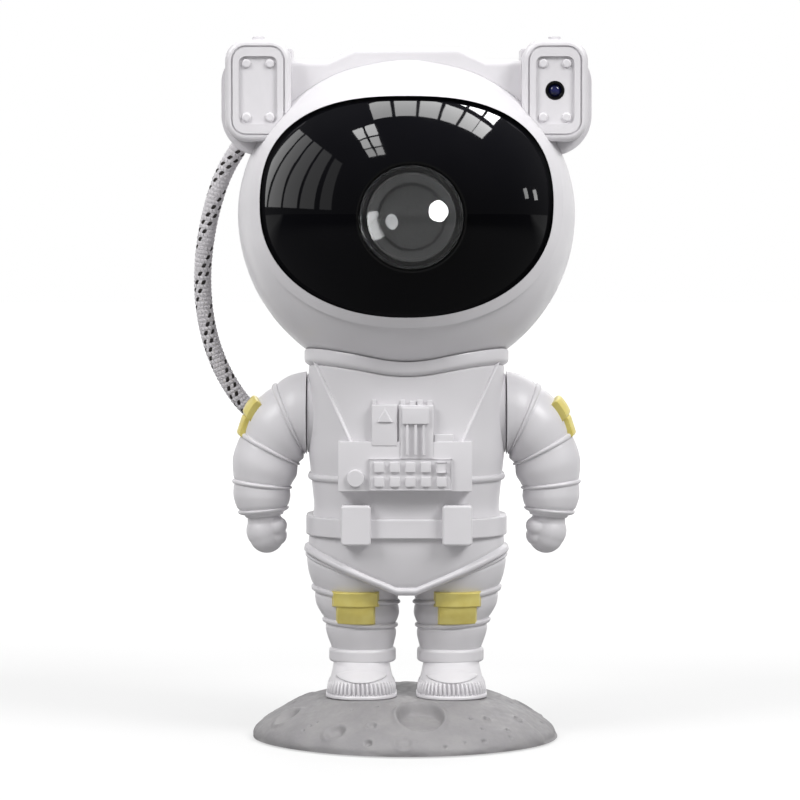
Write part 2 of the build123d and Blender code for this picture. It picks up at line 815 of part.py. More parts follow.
with BuildPart() as chest_panel:
    with BuildSketch(front_plane(-panel_back, 0, (panel_low_z + panel_top_z) / 2)):
        RectangleRounded(2 * panel_half_w, panel_top_z - panel_low_z, panel_r)
    extrude(amount=panel_front - panel_back)
    with BuildSketch(front_plane(-panel_back)):
        with Locations(((tower_left + tower_right) / 2, (panel_low_z + tower_top_z) / 2)):
            RectangleRounded(tower_right - tower_left, tower_top_z - panel_low_z, panel_r)
    extrude(amount=panel_front - panel_back)
    # raised block that carries the sliders, with its two pegs
    with BuildSketch(front_plane(-panel_back)):
        with Locations(((block_left + tower_right) / 2, (block_low_z + tower_top_z) / 2)):
            RectangleRounded(tower_right - block_left, tower_top_z - block_low_z, panel_r * 0.8)
    extrude(amount=panel_front + block_step - panel_back)
    with BuildSketch(front_plane(-panel_back)):
        with Locations((block_left + 2.6, tower_top_z + 0.8), (tower_right - 2.6, tower_top_z + 0.8)):
            RectangleRounded(2.2, 4.0, 0.6)
    extrude(amount=panel_front - panel_back)
    with BuildSketch(front_plane(-panel_back)):
        with Locations(((block_left + tower_right) / 2 - 0.3, tower_top_z - 2.9)):
            RectangleRounded(8.0, 5.6, 0.6)
    extrude(amount=panel_front + 2 * block_step - panel_back)
    # raised frame round the keys
    with BuildSketch(front_plane(-panel_back)):
        with Locations(((keypad_left + keypad_right) / 2, (panel_low_z + keypad_top_z) / 2)):
            RectangleRounded(keypad_right - keypad_left, keypad_top_z - panel_low_z, panel_r * 0.6)
    extrude(amount=panel_front + keypad_step - panel_back)
    # raised triangle
    with BuildSketch(front_plane(-panel_back)):
        with Locations((-6.5, 105.9)):
            Triangle(a=5.2, b=4.9, c=4.9)
    extrude(amount=panel_front + 0.4 - panel_back)
    # pockets for the keys and the dial
    with BuildSketch(front_plane(-panel_front - keypad_step + key_pocket)):
        with Locations((keypad_mid_x, keypad_mid_z)):
            with GridLocations(key_pitch_x, key_pitch_z, key_columns, key_rows):
                Rectangle(key_size + 2 * fit_gap, key_size + 2 * fit_gap)
    extrude(amount=far, mode=Mode.SUBTRACT)
    with BuildSketch(front_plane(-panel_front + key_pocket, dial_x, dial_z)):
        Circle(dial_r + fit_gap)
    extrude(amount=far, mode=Mode.SUBTRACT)
    with BuildSketch(front_plane(-panel_front - block_step + key_pocket)):
        with Locations(*slider_spots):
            Rectangle(slider_w + 2 * fit_gap, slider_h + 2 * fit_gap)
    extrude(amount=far, mode=Mode.SUBTRACT)
    add(torso_form(fit_gap), mode=Mode.SUBTRACT)
    add(harness.part, mode=Mode.SUBTRACT)
    add(torso_cord(waist_cord_z, waist_cord_r + fit_gap), mode=Mode.SUBTRACT)
save(chest_panel, "chest_panel")

with BuildPart() as chest_keys:
    with BuildSketch(front_plane(-panel_front - keypad_step + key_pocket - fit_gap)):
        with Locations((keypad_mid_x, keypad_mid_z)):
            with GridLocations(key_pitch_x, key_pitch_z, key_columns, key_rows):
                Rectangle(key_size, key_size)
    extrude(amount=key_pocket + key_proud)
    chamfer(chest_keys.faces().group_by(Axis.Y)[0].edges(), 0.35)
save(chest_keys, "chest_keys")

with BuildPart() as chest_dial:
    with BuildSketch(front_plane(-panel_front + key_pocket - fit_gap, dial_x, dial_z)):
        Circle(dial_r)
    extrude(amount=key_pocket + dial_proud)
    fillet(chest_dial.faces().group_by(Axis.Y)[0].edges(), 0.4)
save(chest_dial, "chest_dial")

with BuildPart() as chest_sliders:
    with BuildSketch(front_plane(-panel_front - block_step + key_pocket - fit_gap)):
        with Locations(*slider_spots):
            Rectangle(slider_w, slider_h)
    extrude(amount=key_pocket + slider_proud)
save(chest_sliders, "chest_sliders")

# ---------------------------------------------------------------- arms
with BuildPart() as arm_left:
    add(limb_form(arm_sections, arm_cords))
    # mitten: palm, four curled fingers side by side, and a thumb on the inner side
    with Locations((hand_x, hand_y, hand_z)):
        Sphere(hand_r)
    with Locations((hand_x, hand_y, hand_z + 3.2)):
        Cylinder(hand_r - 0.7, 6.4)
    for finger in range(4):
        y = hand_y + (finger - 1.5) * finger_pitch
        with Locations((hand_x + 2.9, y, hand_z - 2.2)):
            Sphere(finger_r)
        with Locations((hand_x - 0.8, y, hand_z - 4.4)):
            Sphere(finger_r)
    with Locations((hand_x + 3.6, hand_y - 3.4, hand_z + 2.0)):
        Sphere(finger_r)
    # flat joint face and the pivot that snaps into the torso's side
    with BuildSketch(Plane.YZ.offset(-torso_half_w - arm_wall_gap)):
        Rectangle(far, 2 * far)
    extrude(amount=far, mode=Mode.SUBTRACT)
    with BuildSketch(Plane.YZ.offset(-torso_half_w - 2)):
        with Locations((0, shoulder_z)):
            Circle(arm_pivot_r)
    extrude(amount=2 + shell_wall + arm_wall_gap)
    with BuildSketch(Plane.YZ.offset(-torso_half_w + shell_wall + arm_wall_gap)):
        with Locations((0, shoulder_z)):
            Circle(arm_pivot_r + 1.8)
    extrude(amount=1.5)
save(arm_left, "arm_left")
arm_right = mirrored(arm_left)
save(arm_right, "arm_right")

shoulder_lean = radians(shoulder_patch_lean)
shoulder_spot = Vector(arm_sections[2][0] + 4.0 * sin(shoulder_lean), 0,
                       arm_sections[2][1] + 4.0 * cos(shoulder_lean))
shoulder_plane = Plane(origin=shoulder_spot, x_dir=(0, -1, 0),
                       z_dir=(-cos(shoulder_lean), 0, sin(shoulder_lean)))
shoulder_patch_left = stepped_patch(shoulder_plane, arm_left.part, shoulder_reach)
save(shoulder_patch_left, "shoulder_patch_left")
shoulder_patch_right = mirrored(shoulder_patch_left)
save(shoulder_patch_right, "shoulder_patch_right")

# ---------------------------------------------------------------- backpack, control board and buttons
usb_y = board_y + board_t + usb_h / 2 + fit_gap

with BuildPart() as backpack:
    with BuildSketch(front_plane(pack_back, 0, (pack_low_z + pack_top_z) / 2)):
        RectangleRounded(2 * pack_half_w, pack_top_z - pack_low_z, pack_r)
    extrude(amount=pack_back)
    fillet(backpack.faces().sort_by(Axis.Y)[-1].edges(), pack_r * 0.6)
    with BuildSketch(front_plane(pack_back - pack_wall, 0, (pack_low_z + pack_top_z) / 2)):
        RectangleRounded(2 * (pack_half_w - pack_wall), pack_top_z - pack_low_z - 2 * pack_wall,
                         pack_r - pack_wall)
    extrude(amount=pack_back, mode=Mode.SUBTRACT)
    add(torso_form(fit_gap), mode=Mode.SUBTRACT)
    add(torso_cord(waist_cord_z, waist_cord_r + fit_gap), mode=Mode.SUBTRACT)
    # three shallow grooves across the back, button holes, the inlet's slot and the board's posts
    with BuildSketch(front_plane(pack_back, 0, pack_low_z + pack_groove_rise)):
        with GridLocations(1, pack_groove_pitch, 1, 3):
            SlotOverall(1.5 * pack_half_w, 2 * pack_groove)
    extrude(amount=pack_groove, mode=Mode.SUBTRACT)
    with BuildSketch(front_plane(pack_back + 1, 0, button_z)):
        with GridLocations(button_pitch, 1, 3, 1):
            Circle(button_r + button_gap)
    extrude(amount=pack_wall + 2, mode=Mode.SUBTRACT)
    with BuildSketch(Plane.XY.offset(pack_low_z - 1)):
        with Locations((0, usb_y)):
            RectangleRounded(usb_w + 0.4, usb_h + 0.4, usb_h / 2)
    extrude(amount=pack_wall + 2, mode=Mode.SUBTRACT)
    with BuildSketch(front_plane(pack_back - pack_wall, 0, board_z)):
        with GridLocations(board_w - 2 * board_post_in, board_h - 2 * board_post_in, 2, 2):
            Circle(board_post_r)
            Circle(board_screw_r + fit_gap, mode=Mode.SUBTRACT)
    extrude(amount=pack_back - pack_wall - board_y - board_t)
    # socket for the hose's lower gland
    with BuildSketch(Plane.YZ.offset(-pack_half_w + pack_wall)):
        with Locations((gland_low_y, gland_low_z)):
            Circle(gland_r - gland_wall + fit_gap)
    extrude(amount=-2 * pack_wall, mode=Mode.SUBTRACT)
save(backpack, "backpack")

with BuildPart() as control_board:
    with BuildSketch(front_plane(board_y + board_t, 0, board_z)):
        RectangleRounded(board_w, board_h, 1.5)
        with GridLocations(board_w - 2 * board_post_in, board_h - 2 * board_post_in, 2, 2):
            Circle(board_screw_r + fit_gap, mode=Mode.SUBTRACT)
    extrude(amount=board_t)
    with BuildSketch(front_plane(board_y + board_t, 0, button_z)):
        with GridLocations(button_pitch, 1, 3, 1):
            Rectangle(switch_size, switch_size)
    extrude(amount=-switch_body)
    with BuildSketch(front_plane(board_y + board_t, 0, button_z)):
        with GridLocations(button_pitch, 1, 3, 1):
            Circle(switch_stem_r)
    extrude(amount=-switch_body - switch_stem)
    with BuildSketch(front_plane(board_y, 4.0, board_z - 6)):
        Rectangle(8.0, 6.0)
    extrude(amount=1.6)
save(control_board, "control_board")

with BuildPart() as board_screws:
    with BuildSketch(front_plane(board_y, 0, board_z)) as board_holes:
        with GridLocations(board_w - 2 * board_post_in, board_h - 2 * board_post_in, 2, 2):
            Circle(board_screw_r)
    extrude(amount=-board_t - board_screw_bite)
    with BuildSketch(front_plane(board_y, 0, board_z)):
        with GridLocations(board_w - 2 * board_post_in, board_h - 2 * board_post_in, 2, 2):
            Circle(2 * board_screw_r)
    extrude(amount=screw_head_t)
save(board_screws, "board_screws")

with BuildPart() as usb_socket:
    with BuildSketch(Plane.XY.offset(pack_low_z + usb_sunk)):
        with Locations((0, usb_y)):
            RectangleRounded(usb_w, usb_h, usb_h / 2 - 0.05)
            RectangleRounded(usb_w - 0.6, usb_h - 0.6, usb_h / 2 - 0.35, mode=Mode.SUBTRACT)
    extrude(amount=usb_l)
    with BuildSketch(Plane.XY.offset(pack_low_z + usb_sunk + usb_l - 1.2)):
        with Locations((0, usb_y)):
            Rectangle(usb_w - 3.2, usb_h - 0.5)
    extrude(amount=1.2)
    with BuildSketch(Plane.XY.offset(pack_low_z + 1.2)):
        with Locations((0, usb_y)):
            Rectangle(usb_w - 2.6, 0.7)
    extrude(amount=usb_l - 1.4)
save(usb_socket, "usb_socket")

# the stem ends short of its switch by a little more than the travel
button_reach = pack_back - pack_wall - fit_gap - board_y - board_t - switch_body - switch_stem - button_travel - 0.1
for place, node in enumerate(("button_power", "button_nebula", "button_star")):
    with BuildPart() as button:
        middle = front_plane(pack_back - pack_wall - fit_gap, (place - 1) * button_pitch, button_z)
        with BuildSketch(middle):
            Circle(button_r)
        extrude(amount=-pack_wall - fit_gap - button_proud)
        fillet(button.edges().group_by(Axis.Y)[-1], 0.5)
        with BuildSketch(middle):
            Circle(button_r + button_flange)
        extrude(amount=button_flange_t)
        with BuildSketch(middle):
            Circle(button_stem_r)
        extrude(amount=button_reach)
    save(button, node)

# ---------------------------------------------------------------- helmet
seam_y = head_y + head_seam_y
lens_z = head_z - lens_drop


def bored(spots, radius, y, depth):
    """Take holes along Y out of the piece at hand, from y backwards by depth, about the helmet's centre."""
    with BuildSketch(front_plane(y, 0, head_z)) as holes:
        with Locations(*spots):
            Circle(radius)
    extrude(holes.sketch, amount=-depth, mode=Mode.SUBTRACT)


with BuildPart() as helmet_lip:
    add(helmet_form(lip_proud))
    add(visor_prism(lip_w), mode=Mode.INTERSECT)

# screw bosses, each on a gusset from the wall
with BuildPart() as front_bosses:
    for x, z in helmet_screw_spots:
        with BuildSketch(Plane(origin=(x, seam_y - lug_t - fit_gap, head_z + z), z_dir=(0, -1, 0),
                               x_dir=(cos(atan2(z, x)), 0, sin(atan2(z, x))))):
            Circle(boss_r)
            with Locations((far / 8, 0)):
                Rectangle(far / 4, gusset_t)
    extrude(amount=boss_l)
    bored(helmet_screw_spots, helmet_screw_r + fit_gap, seam_y - helmet_screw_bite - lug_t,
          helmet_screw_bite)
    add(helmet_form(-shell_wall / 2), mode=Mode.INTERSECT)

with BuildPart() as helmet_front_shell:
    add(helmet_form(0))
    add(helmet_lip.part)
    split(bisect_by=Plane.XZ.offset(-seam_y), keep=Keep.TOP)
    add(helmet_form(-shell_wall), mode=Mode.SUBTRACT)
    add(visor_prism(fit_gap), mode=Mode.SUBTRACT)
    add(front_bosses.part)
save(helmet_front_shell, "helmet_front_shell")

with BuildPart() as rear_posts:
    with BuildSketch(front_plane(seam_y, 0, head_z)):
        with Locations(*helmet_screw_spots):
            Circle(boss_r)
    extrude(amount=-helmet_r)
    add(helmet_form(-shell_wall / 2), mode=Mode.INTERSECT)

with BuildPart() as rear_half:
    add(helmet_form(0))
    add(helmet_form(-shell_wall), mode=Mode.SUBTRACT)
    split(bisect_by=Plane.XZ.offset(-seam_y), keep=Keep.BOTTOM)

with BuildPart() as helmet_rear_shell:
    add(rear_half.part)
    add(rear_posts.part)
    bored(helmet_screw_spots, helmet_screw_r + fit_gap, seam_y, far)
    bored(helmet_screw_spots, 2 * helmet_screw_r + fit_gap, seam_y + helmet_screw_sunk, far)
save(helmet_rear_shell, "helmet_rear_shell")

with BuildPart() as helmet_screws:
    with BuildSketch(front_plane(seam_y + helmet_screw_sunk, 0, head_z)) as screw_ends:
        with Locations(*helmet_screw_spots):
            Circle(helmet_screw_r)
    extrude(amount=helmet_screw_sunk + lug_t + helmet_screw_bite - 0.5)
    with BuildSketch(front_plane(seam_y + helmet_screw_sunk, 0, head_z)):
        with Locations(*helmet_screw_spots):
            Circle(2 * helmet_screw_r)
    extrude(amount=-helmet_screw_head_t)
save(helmet_screws, "helmet_screws")

# the visor fills the opening with a thicker rim and has a flange behind the opening's edge
visor_back = visor_stand - visor_wall - shell_wall
with BuildPart() as visor_flange:
    add(helmet_form(-shell_wall - fit_gap))
    add(helmet_form(visor_back), mode=Mode.SUBTRACT)
    add(visor_prism(lip_w), mode=Mode.INTERSECT)
with BuildPart() as visor_inside:
    add(helmet_form(visor_stand - visor_wall))
    add(visor_prism(-visor_edge), mode=Mode.INTERSECT)
with BuildPart() as visor:
    add(helmet_form(visor_stand))
    add(helmet_form(visor_back), mode=Mode.SUBTRACT)
    add(visor_prism(0), mode=Mode.INTERSECT)
    add(visor_flange.part)
    add(visor_inside.part, mode=Mode.SUBTRACT)
    with BuildSketch(front_plane(head_y, lens_x, lens_z)):
        Circle(lens_r + bezel_w + fit_gap)
    extrude(amount=2 * helmet_r, mode=Mode.SUBTRACT)
save(visor, "visor")

# ---------------------------------------------------------------- optics in the helmet
lens_edge_y = head_y - sqrt((helmet_r + visor_stand) ** 2 - lens_r ** 2)
lens_front_y = head_y - helmet_r - lens_proud
lens_back_y = lens_edge_y + lens_rim
bezel_back_y = lens_back_y + bezel_deep
frame_y = head_y - frame_front
frame_back_y = frame_y + frame_t
wheel_y = frame_back_y + wheel_gap
wheel_back_y = wheel_y + wheel_t
wheel_z = lens_z - wheel_drop
gear_distance = gear_module * (wheel_teeth + pinion_teeth) / 2
pinion_x = lens_x + gear_distance * cos(radians(pinion_turn))
pinion_z = wheel_z + gear_distance * sin(radians(pinion_turn))
lens_side = Plane(origin=(lens_x, 0, lens_z), x_dir=(1, 0, 0), z_dir=(0, 0, 1))
lens_axis = Axis((lens_x, 0, lens_z), (0, 1, 0))



def lens_crown(front_y, edge_y, radius):
    """Half of a round lens's front, a true sphere, from its middle out to its edge."""
    sag = edge_y - front_y
    crown_r = (radius ** 2 + sag ** 2) / (2 * sag)
    half_turn = asin(radius / crown_r) / 2
    ThreePointArc((0, front_y), (crown_r * sin(half_turn), front_y + crown_r * (1 - cos(half_turn))),
                  (radius, edge_y))


with BuildPart() as dome_lens:
    with BuildSketch(lens_side):
        with BuildLine():
            lens_crown(lens_front_y, lens_edge_y, lens_r)
            Polyline((lens_r, lens_edge_y), (lens_r, lens_back_y), (0, lens_back_y), (0, lens_front_y))
        make_face()
    revolve(axis=lens_axis)
save(dome_lens, "dome_lens")

with BuildPart() as lens_bezel:
    with BuildSketch(front_plane(bezel_back_y, lens_x, lens_z)):
        Circle(lens_r + bezel_w)
        Circle(lens_r + fit_gap, mode=Mode.SUBTRACT)
    extrude(amount=bezel_back_y - lens_edge_y + bezel_proud)
    chamfer(lens_bezel.edges().group_by(Axis.Y)[0], bezel_w / 3)
    with BuildSketch(front_plane(bezel_back_y, lens_x, lens_z)):
        Circle(lens_r + bezel_w)
        Circle(lens_r - bezel_ledge, mode=Mode.SUBTRACT)
    extrude(amount=bezel_deep - fit_gap)
save(lens_bezel, "lens_bezel")

# plate with the lens tube in front, the wheel's axle and the lamp's posts behind, and four struts
# that end in lugs between the two helmet shells
with BuildPart() as optics_frame:
    with BuildSketch(front_plane(frame_back_y, 0, head_z)):
        Circle(frame_r)
        with Locations(*helmet_screw_spots):
            Circle(2 * boss_r, mode=Mode.SUBTRACT)
    extrude(amount=frame_t)
    add(helmet_form(-shell_wall - 1.5), mode=Mode.INTERSECT)
    for (strut_x, strut_z), (screw_x, screw_z) in zip(strut_spots, helmet_screw_spots):
        with BuildSketch(front_plane(seam_y - fit_gap, 0, head_z)):
            with Locations((strut_x, strut_z)):
                Circle(strut_r)
        extrude(amount=seam_y - fit_gap - frame_back_y)
        with BuildSketch(front_plane(seam_y - fit_gap, 0, head_z)):
            with Locations(((strut_x + screw_x) / 2, (strut_z + screw_z) / 2)):
                SlotCenterToCenter(hypot(screw_x - strut_x, screw_z - strut_z), 2 * strut_r,
                                   rotation=degrees(atan2(screw_z - strut_z, screw_x - strut_x)))
        extrude(amount=lug_t - fit_gap)
    with BuildSketch(front_plane(frame_y, lens_x, lens_z)):
        Circle(tube_r)
    extrude(amount=frame_y - bezel_back_y - fit_gap)
    with BuildSketch(front_plane(lamp_y - fit_gap, lens_x, lens_z)):
        with Locations(*lamp_post_spots):
            Circle(lamp_post_r)
    extrude(amount=lamp_y - fit_gap - frame_back_y)
    with BuildSketch(front_plane(lamp_y + board_t + 0.8, lens_x, lens_z)):
        with Locations(*lamp_post_spots):
            Circle(lamp_pin_r)
    extrude(amount=board_t + 2.0)
    with BuildSketch(front_plane(wheel_back_y + 1.0, lens_x, wheel_z)):
        Circle(axle_r)
    extrude(amount=wheel_back_y + 1.0 - frame_back_y)
    with BuildSketch(front_plane(frame_y, lens_x, lens_z)):
        Circle(tube_r - tube_wall)
    extrude(amount=far, mode=Mode.SUBTRACT)
    with BuildSketch(front_plane(frame_back_y, lens_x, lens_z)):
        Circle(aperture_r)
    extrude(amount=frame_t, mode=Mode.SUBTRACT)
    bored(helmet_screw_spots, helmet_screw_r + fit_gap, seam_y - lug_t, lug_t)
    with BuildSketch(front_plane(frame_back_y, pinion_x, pinion_z)):
        Circle(motor_shaft_r + move_gap)
    extrude(amount=far, mode=Mode.SUBTRACT)
save(optics_frame, "optics_frame")

with BuildPart() as effect_motor:
    with BuildSketch(front_plane(frame_y - fit_gap, pinion_x, pinion_z)):
        Circle(motor_r)
    extrude(amount=motor_l)
    with BuildSketch(front_plane(frame_y - fit_gap, pinion_x, pinion_z)):
        Circle(motor_shaft_r + fit_gap)
    extrude(amount=motor_l - 2.0, mode=Mode.SUBTRACT)
    fillet(effect_motor.edges().group_by(Axis.Y)[0], 1.0)
save(effect_motor, "effect_motor")


def gear_face(teeth, first_turn):
    """A spur gear with straight-flanked teeth, the first one at first_turn degrees."""
    pitch_r = gear_module * teeth / 2
    tip_r = pitch_r + 0.75 * gear_module
    root_r = pitch_r - 1.05 * gear_module
    pitch_half = gear_module * pi / 4 - gear_backlash / 2
    tip_half = pitch_half - 0.75 * gear_module * tan(radians(20))
    root_half = pitch_half + 1.05 * gear_module * tan(radians(20))
    Circle(root_r)
    with BuildSketch(mode=Mode.PRIVATE) as tooth:
        Polygon((root_r * 0.9, -root_half), (root_r, -root_half), (tip_r, -tip_half), (tip_r, tip_half),
                (root_r, root_half), (root_r * 0.9, root_half), align=None)
    with PolarLocations(0, teeth, start_angle=first_turn):
        add(tooth.sketch)


with BuildPart() as effect_wheel:
    with BuildSketch(front_plane(wheel_back_y, lens_x, wheel_z)):
        gear_face(wheel_teeth, pinion_turn)
        Circle(disc_r + fit_gap, mode=Mode.SUBTRACT)
    extrude(amount=wheel_t)
    # three spokes and the hub carry the glass disc
    with BuildSketch(front_plane(wheel_back_y, lens_x, wheel_z)):
        with PolarLocations(disc_r / 2 + 0.5, 3, start_angle=30):
            Rectangle(disc_r + 1.0, spoke_w)
        Circle(hub_r)
        Circle(axle_r + fit_gap, mode=Mode.SUBTRACT)
    extrude(amount=wheel_t - disc_t - fit_gap)
    with BuildSketch(front_plane(wheel_back_y, lens_x, wheel_z)):
        Circle(hub_r)
        Circle(axle_r + fit_gap, mode=Mode.SUBTRACT)
    extrude(amount=wheel_t + wheel_gap - wheel_clear)
save(effect_wheel, "effect_wheel")

with BuildPart() as effect_disc:
    with BuildSketch(front_plane(wheel_y + disc_t, lens_x, wheel_z)):
        Circle(disc_r)
        Circle(hub_r + fit_gap, mode=Mode.SUBTRACT)
    extrude(amount=disc_t)
save(effect_disc, "effect_disc")

with BuildPart() as motor_pinion:
    with BuildSketch(front_plane(wheel_back_y, pinion_x, pinion_z)):
        gear_face(pinion_teeth, pinion_turn + 180 + 180 / pinion_teeth)
    extrude(amount=wheel_t)
    with BuildSketch(front_plane(wheel_back_y, pinion_x, pinion_z)):
        Circle(motor_shaft_r)
    extrude(amount=wheel_back_y - frame_y + motor_l - 3.0)
save(motor_pinion, "motor_pinion")

with BuildPart() as led_board:
    with BuildSketch(front_plane(lamp_y + board_t, lens_x, lens_z)):
        with Locations((0, lamp_h / 2 - lamp_low)):
            RectangleRounded(lamp_w, lamp_h, 2)
        with Locations(*lamp_post_spots):
            Circle(lamp_pin_r + fit_gap, mode=Mode.SUBTRACT)
    extrude(amount=board_t)
    with BuildSketch(front_plane(lamp_y, lens_x, lens_z)):
        Rectangle(led_size, led_size)
    extrude(amount=1.0)
save(led_board, "led_board")

with BuildPart() as condenser_lens:
    with BuildSketch(lens_side):
        with BuildLine():
            foot_y = lamp_y - fit_gap
            lens_crown(foot_y - condenser_l, foot_y - condenser_rim, condenser_r)
            Polyline((condenser_r, foot_y - condenser_rim), (condenser_r, foot_y), (led_size, foot_y),
                     (led_size, foot_y - 1.2), (0, foot_y - 1.2), (0, foot_y - condenser_l))
        make_face()
    revolve(axis=lens_axis)
save(condenser_lens, "condenser_lens")

with BuildPart() as heat_sink:
    with BuildSketch(front_plane(lamp_y + board_t + fit_gap, lens_x, lens_z)):
        Rectangle(sink_size, sink_size)
    extrude(amount=-sink_base_t)
    with BuildSketch(front_plane(lamp_y + board_t + fit_gap, lens_x, lens_z)):
        with GridLocations((sink_size - sink_fin_t) / (sink_fins - 1), 1, sink_fins, 1):
            Rectangle(sink_fin_t, sink_size)
    extrude(amount=-sink_depth)
save(heat_sink, "heat_sink")

# steel cap on the inside of the helmet's bottom, for the magnet in the neck
with BuildPart() as head_steel_plate:
    with BuildSketch(Plane.XY.offset(head_z - helmet_r)):
        with Locations((0, head_y)):
            Circle(steel_r)
    extrude(amount=helmet_r / 2)
    add(helmet_form(-shell_wall - fit_gap), mode=Mode.INTERSECT)
    add(helmet_form(-shell_wall - fit_gap - steel_t), mode=Mode.SUBTRACT)
save(head_steel_plate, "head_steel_plate")

# ---------------------------------------------------------------- ears and crown bridge
ear_front_y = head_y - ear_front
ear_back_y = ear_front_y + ear_depth
ear_plate_y = ear_front_y + ear_pocket_deep - fit_gap
rivet_y = ear_plate_y - ear_plate_t


def ear_rectangle(inset):
    RectangleRounded(ear_w - 2 * inset, ear_h - 2 * inset, ear_corner_r - inset)


def star_bore(y, depth):
    """Take the star lens's bore out of the piece at hand."""
    with BuildSketch(front_plane(y, ear_x, ear_z)) as bore:
        Circle(star_lens_r + fit_gap)
    extrude(bore.sketch, amount=-depth, mode=Mode.SUBTRACT)


with BuildPart() as ear_block_left:
    with BuildSketch(front_plane(ear_back_y, -ear_x, ear_z)):
        ear_rectangle(0)
    extrude(amount=ear_depth)
    fillet(ear_block_left.faces().sort_by(Axis.Y)[0].edges(), ear_round)
    with BuildSketch(front_plane(ear_front_y, -ear_x, ear_z)):
        ear_rectangle(ear_groove_in)
        with BuildSketch(front_plane(ear_front_y, -ear_x, ear_z), mode=Mode.PRIVATE) as groove_inner:
            ear_rectangle(ear_groove_in + ear_groove_w)
        add(groove_inner.sketch_local, mode=Mode.SUBTRACT)
    extrude(amount=-ear_groove_deep, mode=Mode.SUBTRACT)
    with BuildSketch(front_plane(ear_front_y, -ear_x, ear_z)):
        RectangleRounded(ear_pocket_w, ear_pocket_h, ear_pocket_r)
    extrude(amount=-ear_pocket_deep, mode=Mode.SUBTRACT)
    # small round nub on top
    with BuildSketch(Plane.XY.offset(ear_z)):
        with Locations((-ear_x, (ear_front_y + ear_back_y) / 2)):
            Circle(nub_r)
    extrude(amount=ear_h / 2 + nub_h)
    with BuildSketch(front_plane(ear_front_y, -ear_x, ear_z)):
        RectangleRounded(ear_pocket_w, ear_pocket_h, ear_pocket_r)
    extrude(amount=-ear_pocket_deep, mode=Mode.SUBTRACT)
    add(helmet_form(fit_gap), mode=Mode.SUBTRACT)
save(ear_block_left, "ear_block_left")

with BuildPart() as ear_block_right:
    mirror(ear_block_left.part, about=Plane.YZ)
    star_bore(ear_front_y, ear_depth + 1)
save(ear_block_right, "ear_block_right")

with BuildPart() as ear_plates:
    for side in (-1, 1):
        with BuildSketch(front_plane(ear_plate_y, side * ear_x, ear_z)):
            RectangleRounded(ear_pocket_w - 2 * fit_gap, ear_pocket_h - 2 * fit_gap,
                             ear_pocket_r - fit_gap)
    extrude(amount=ear_plate_t)
    star_bore(ear_front_y, ear_depth)
save(ear_plates, "ear_plates")

with BuildPart() as ear_rivets:
    for side in (-1, 1):
        with BuildSketch(front_plane(rivet_y, side * ear_x, ear_z)):
            with GridLocations(rivet_pitch_x, rivet_pitch_z, 2, 2):
                Circle(rivet_r)
    extrude(amount=rivet_proud)
    fillet(ear_rivets.faces().group_by(Axis.Y)[0].edges(), rivet_proud * 0.85)
save(ear_rivets, "ear_rivets")

with BuildPart() as ear_hub_left:
    with BuildSketch(front_plane(ear_back_y + hub_depth, 0, ear_z)):
        with BuildLine():
            hub_inner = -ear_x + ear_w / 2
            FilletPolyline((hub_inner, hub_top), (-hub_reach, hub_top), (-hub_reach, -hub_low),
                           (hub_inner, -hub_low), radius=[hub_top_r, hub_low_r])
            Line((hub_inner, -hub_low), (hub_inner, hub_top))
        make_face()
    extrude(amount=hub_depth - fit_gap)
    fillet(ear_hub_left.faces().sort_by(Axis.Y)[-1].edges(), hub_round)
    add(helmet_form(fit_gap), mode=Mode.SUBTRACT)
    # seat of the hose's gland
    with BuildSketch(front_plane(ear_back_y + hub_depth, gland_high_x, gland_high_z)):
        Circle(gland_r - gland_wall + fit_gap)
    extrude(amount=2 * gland_foot, mode=Mode.SUBTRACT)
save(ear_hub_left, "ear_hub_left")

with BuildPart() as ear_hub_right:
    with BuildSketch(front_plane(ear_back_y + hub_depth, 0, ear_z)):
        with BuildLine():
            FilletPolyline((-hub_inner, hub_top), (hub_reach, hub_top), (hub_reach, -hub_low),
                           (-hub_inner, -hub_low), radius=[hub_top_r, hub_low_r])
            Line((-hub_inner, -hub_low), (-hub_inner, hub_top))
        make_face()
    extrude(amount=hub_depth - fit_gap)
    fillet(ear_hub_right.faces().sort_by(Axis.Y)[-1].edges(), hub_round)
    add(helmet_form(fit_gap), mode=Mode.SUBTRACT)
    star_bore(ear_back_y, laser_l / 2)
save(ear_hub_right, "ear_hub_right")

with BuildPart() as star_lens:
    with BuildSketch(front_plane(rivet_y - 0.3 + star_lens_l, ear_x, ear_z)):
        Circle(star_lens_r)
    extrude(amount=star_lens_l)
    fillet(star_lens.faces().sort_by(Axis.Y)[0].edges(), 0.4)
save(star_lens, "star_lens")

with BuildPart() as star_laser_module:
    with BuildSketch(front_plane(rivet_y - 0.3 + star_lens_l + fit_gap, ear_x, ear_z)):
        Circle(star_lens_r)
    extrude(amount=-laser_l)
save(star_laser_module, "star_laser_module")

with BuildPart() as helmet_bridge:
    with BuildSketch(front_plane(head_y + bridge_depth - bridge_front, 0, 0)):
        with BuildLine():
            inner_x = ear_x - ear_w / 2 - fit_gap
            foot_z = head_z + bridge_tail
            Polyline((-inner_x, foot_z), (-inner_x, bridge_low_z), (-bridge_slope_x, bridge_low_z),
                     (-bridge_flat, bridge_top_z), (bridge_flat, bridge_top_z),
                     (bridge_slope_x, bridge_low_z), (inner_x, bridge_low_z), (inner_x, foot_z), close=True)
        make_face()
    extrude(amount=bridge_depth)
    crown_edges = helmet_bridge.edges().filter_by_position(Axis.Z, bridge_low_z - 0.1, bridge_top_z + 0.1)
    fillet(crown_edges.filter_by(Axis.Y, reverse=True).group_by(Axis.Y)[0], bridge_round)
    add(helmet_form(fit_gap), mode=Mode.SUBTRACT)
save(helmet_bridge, "helmet_bridge")

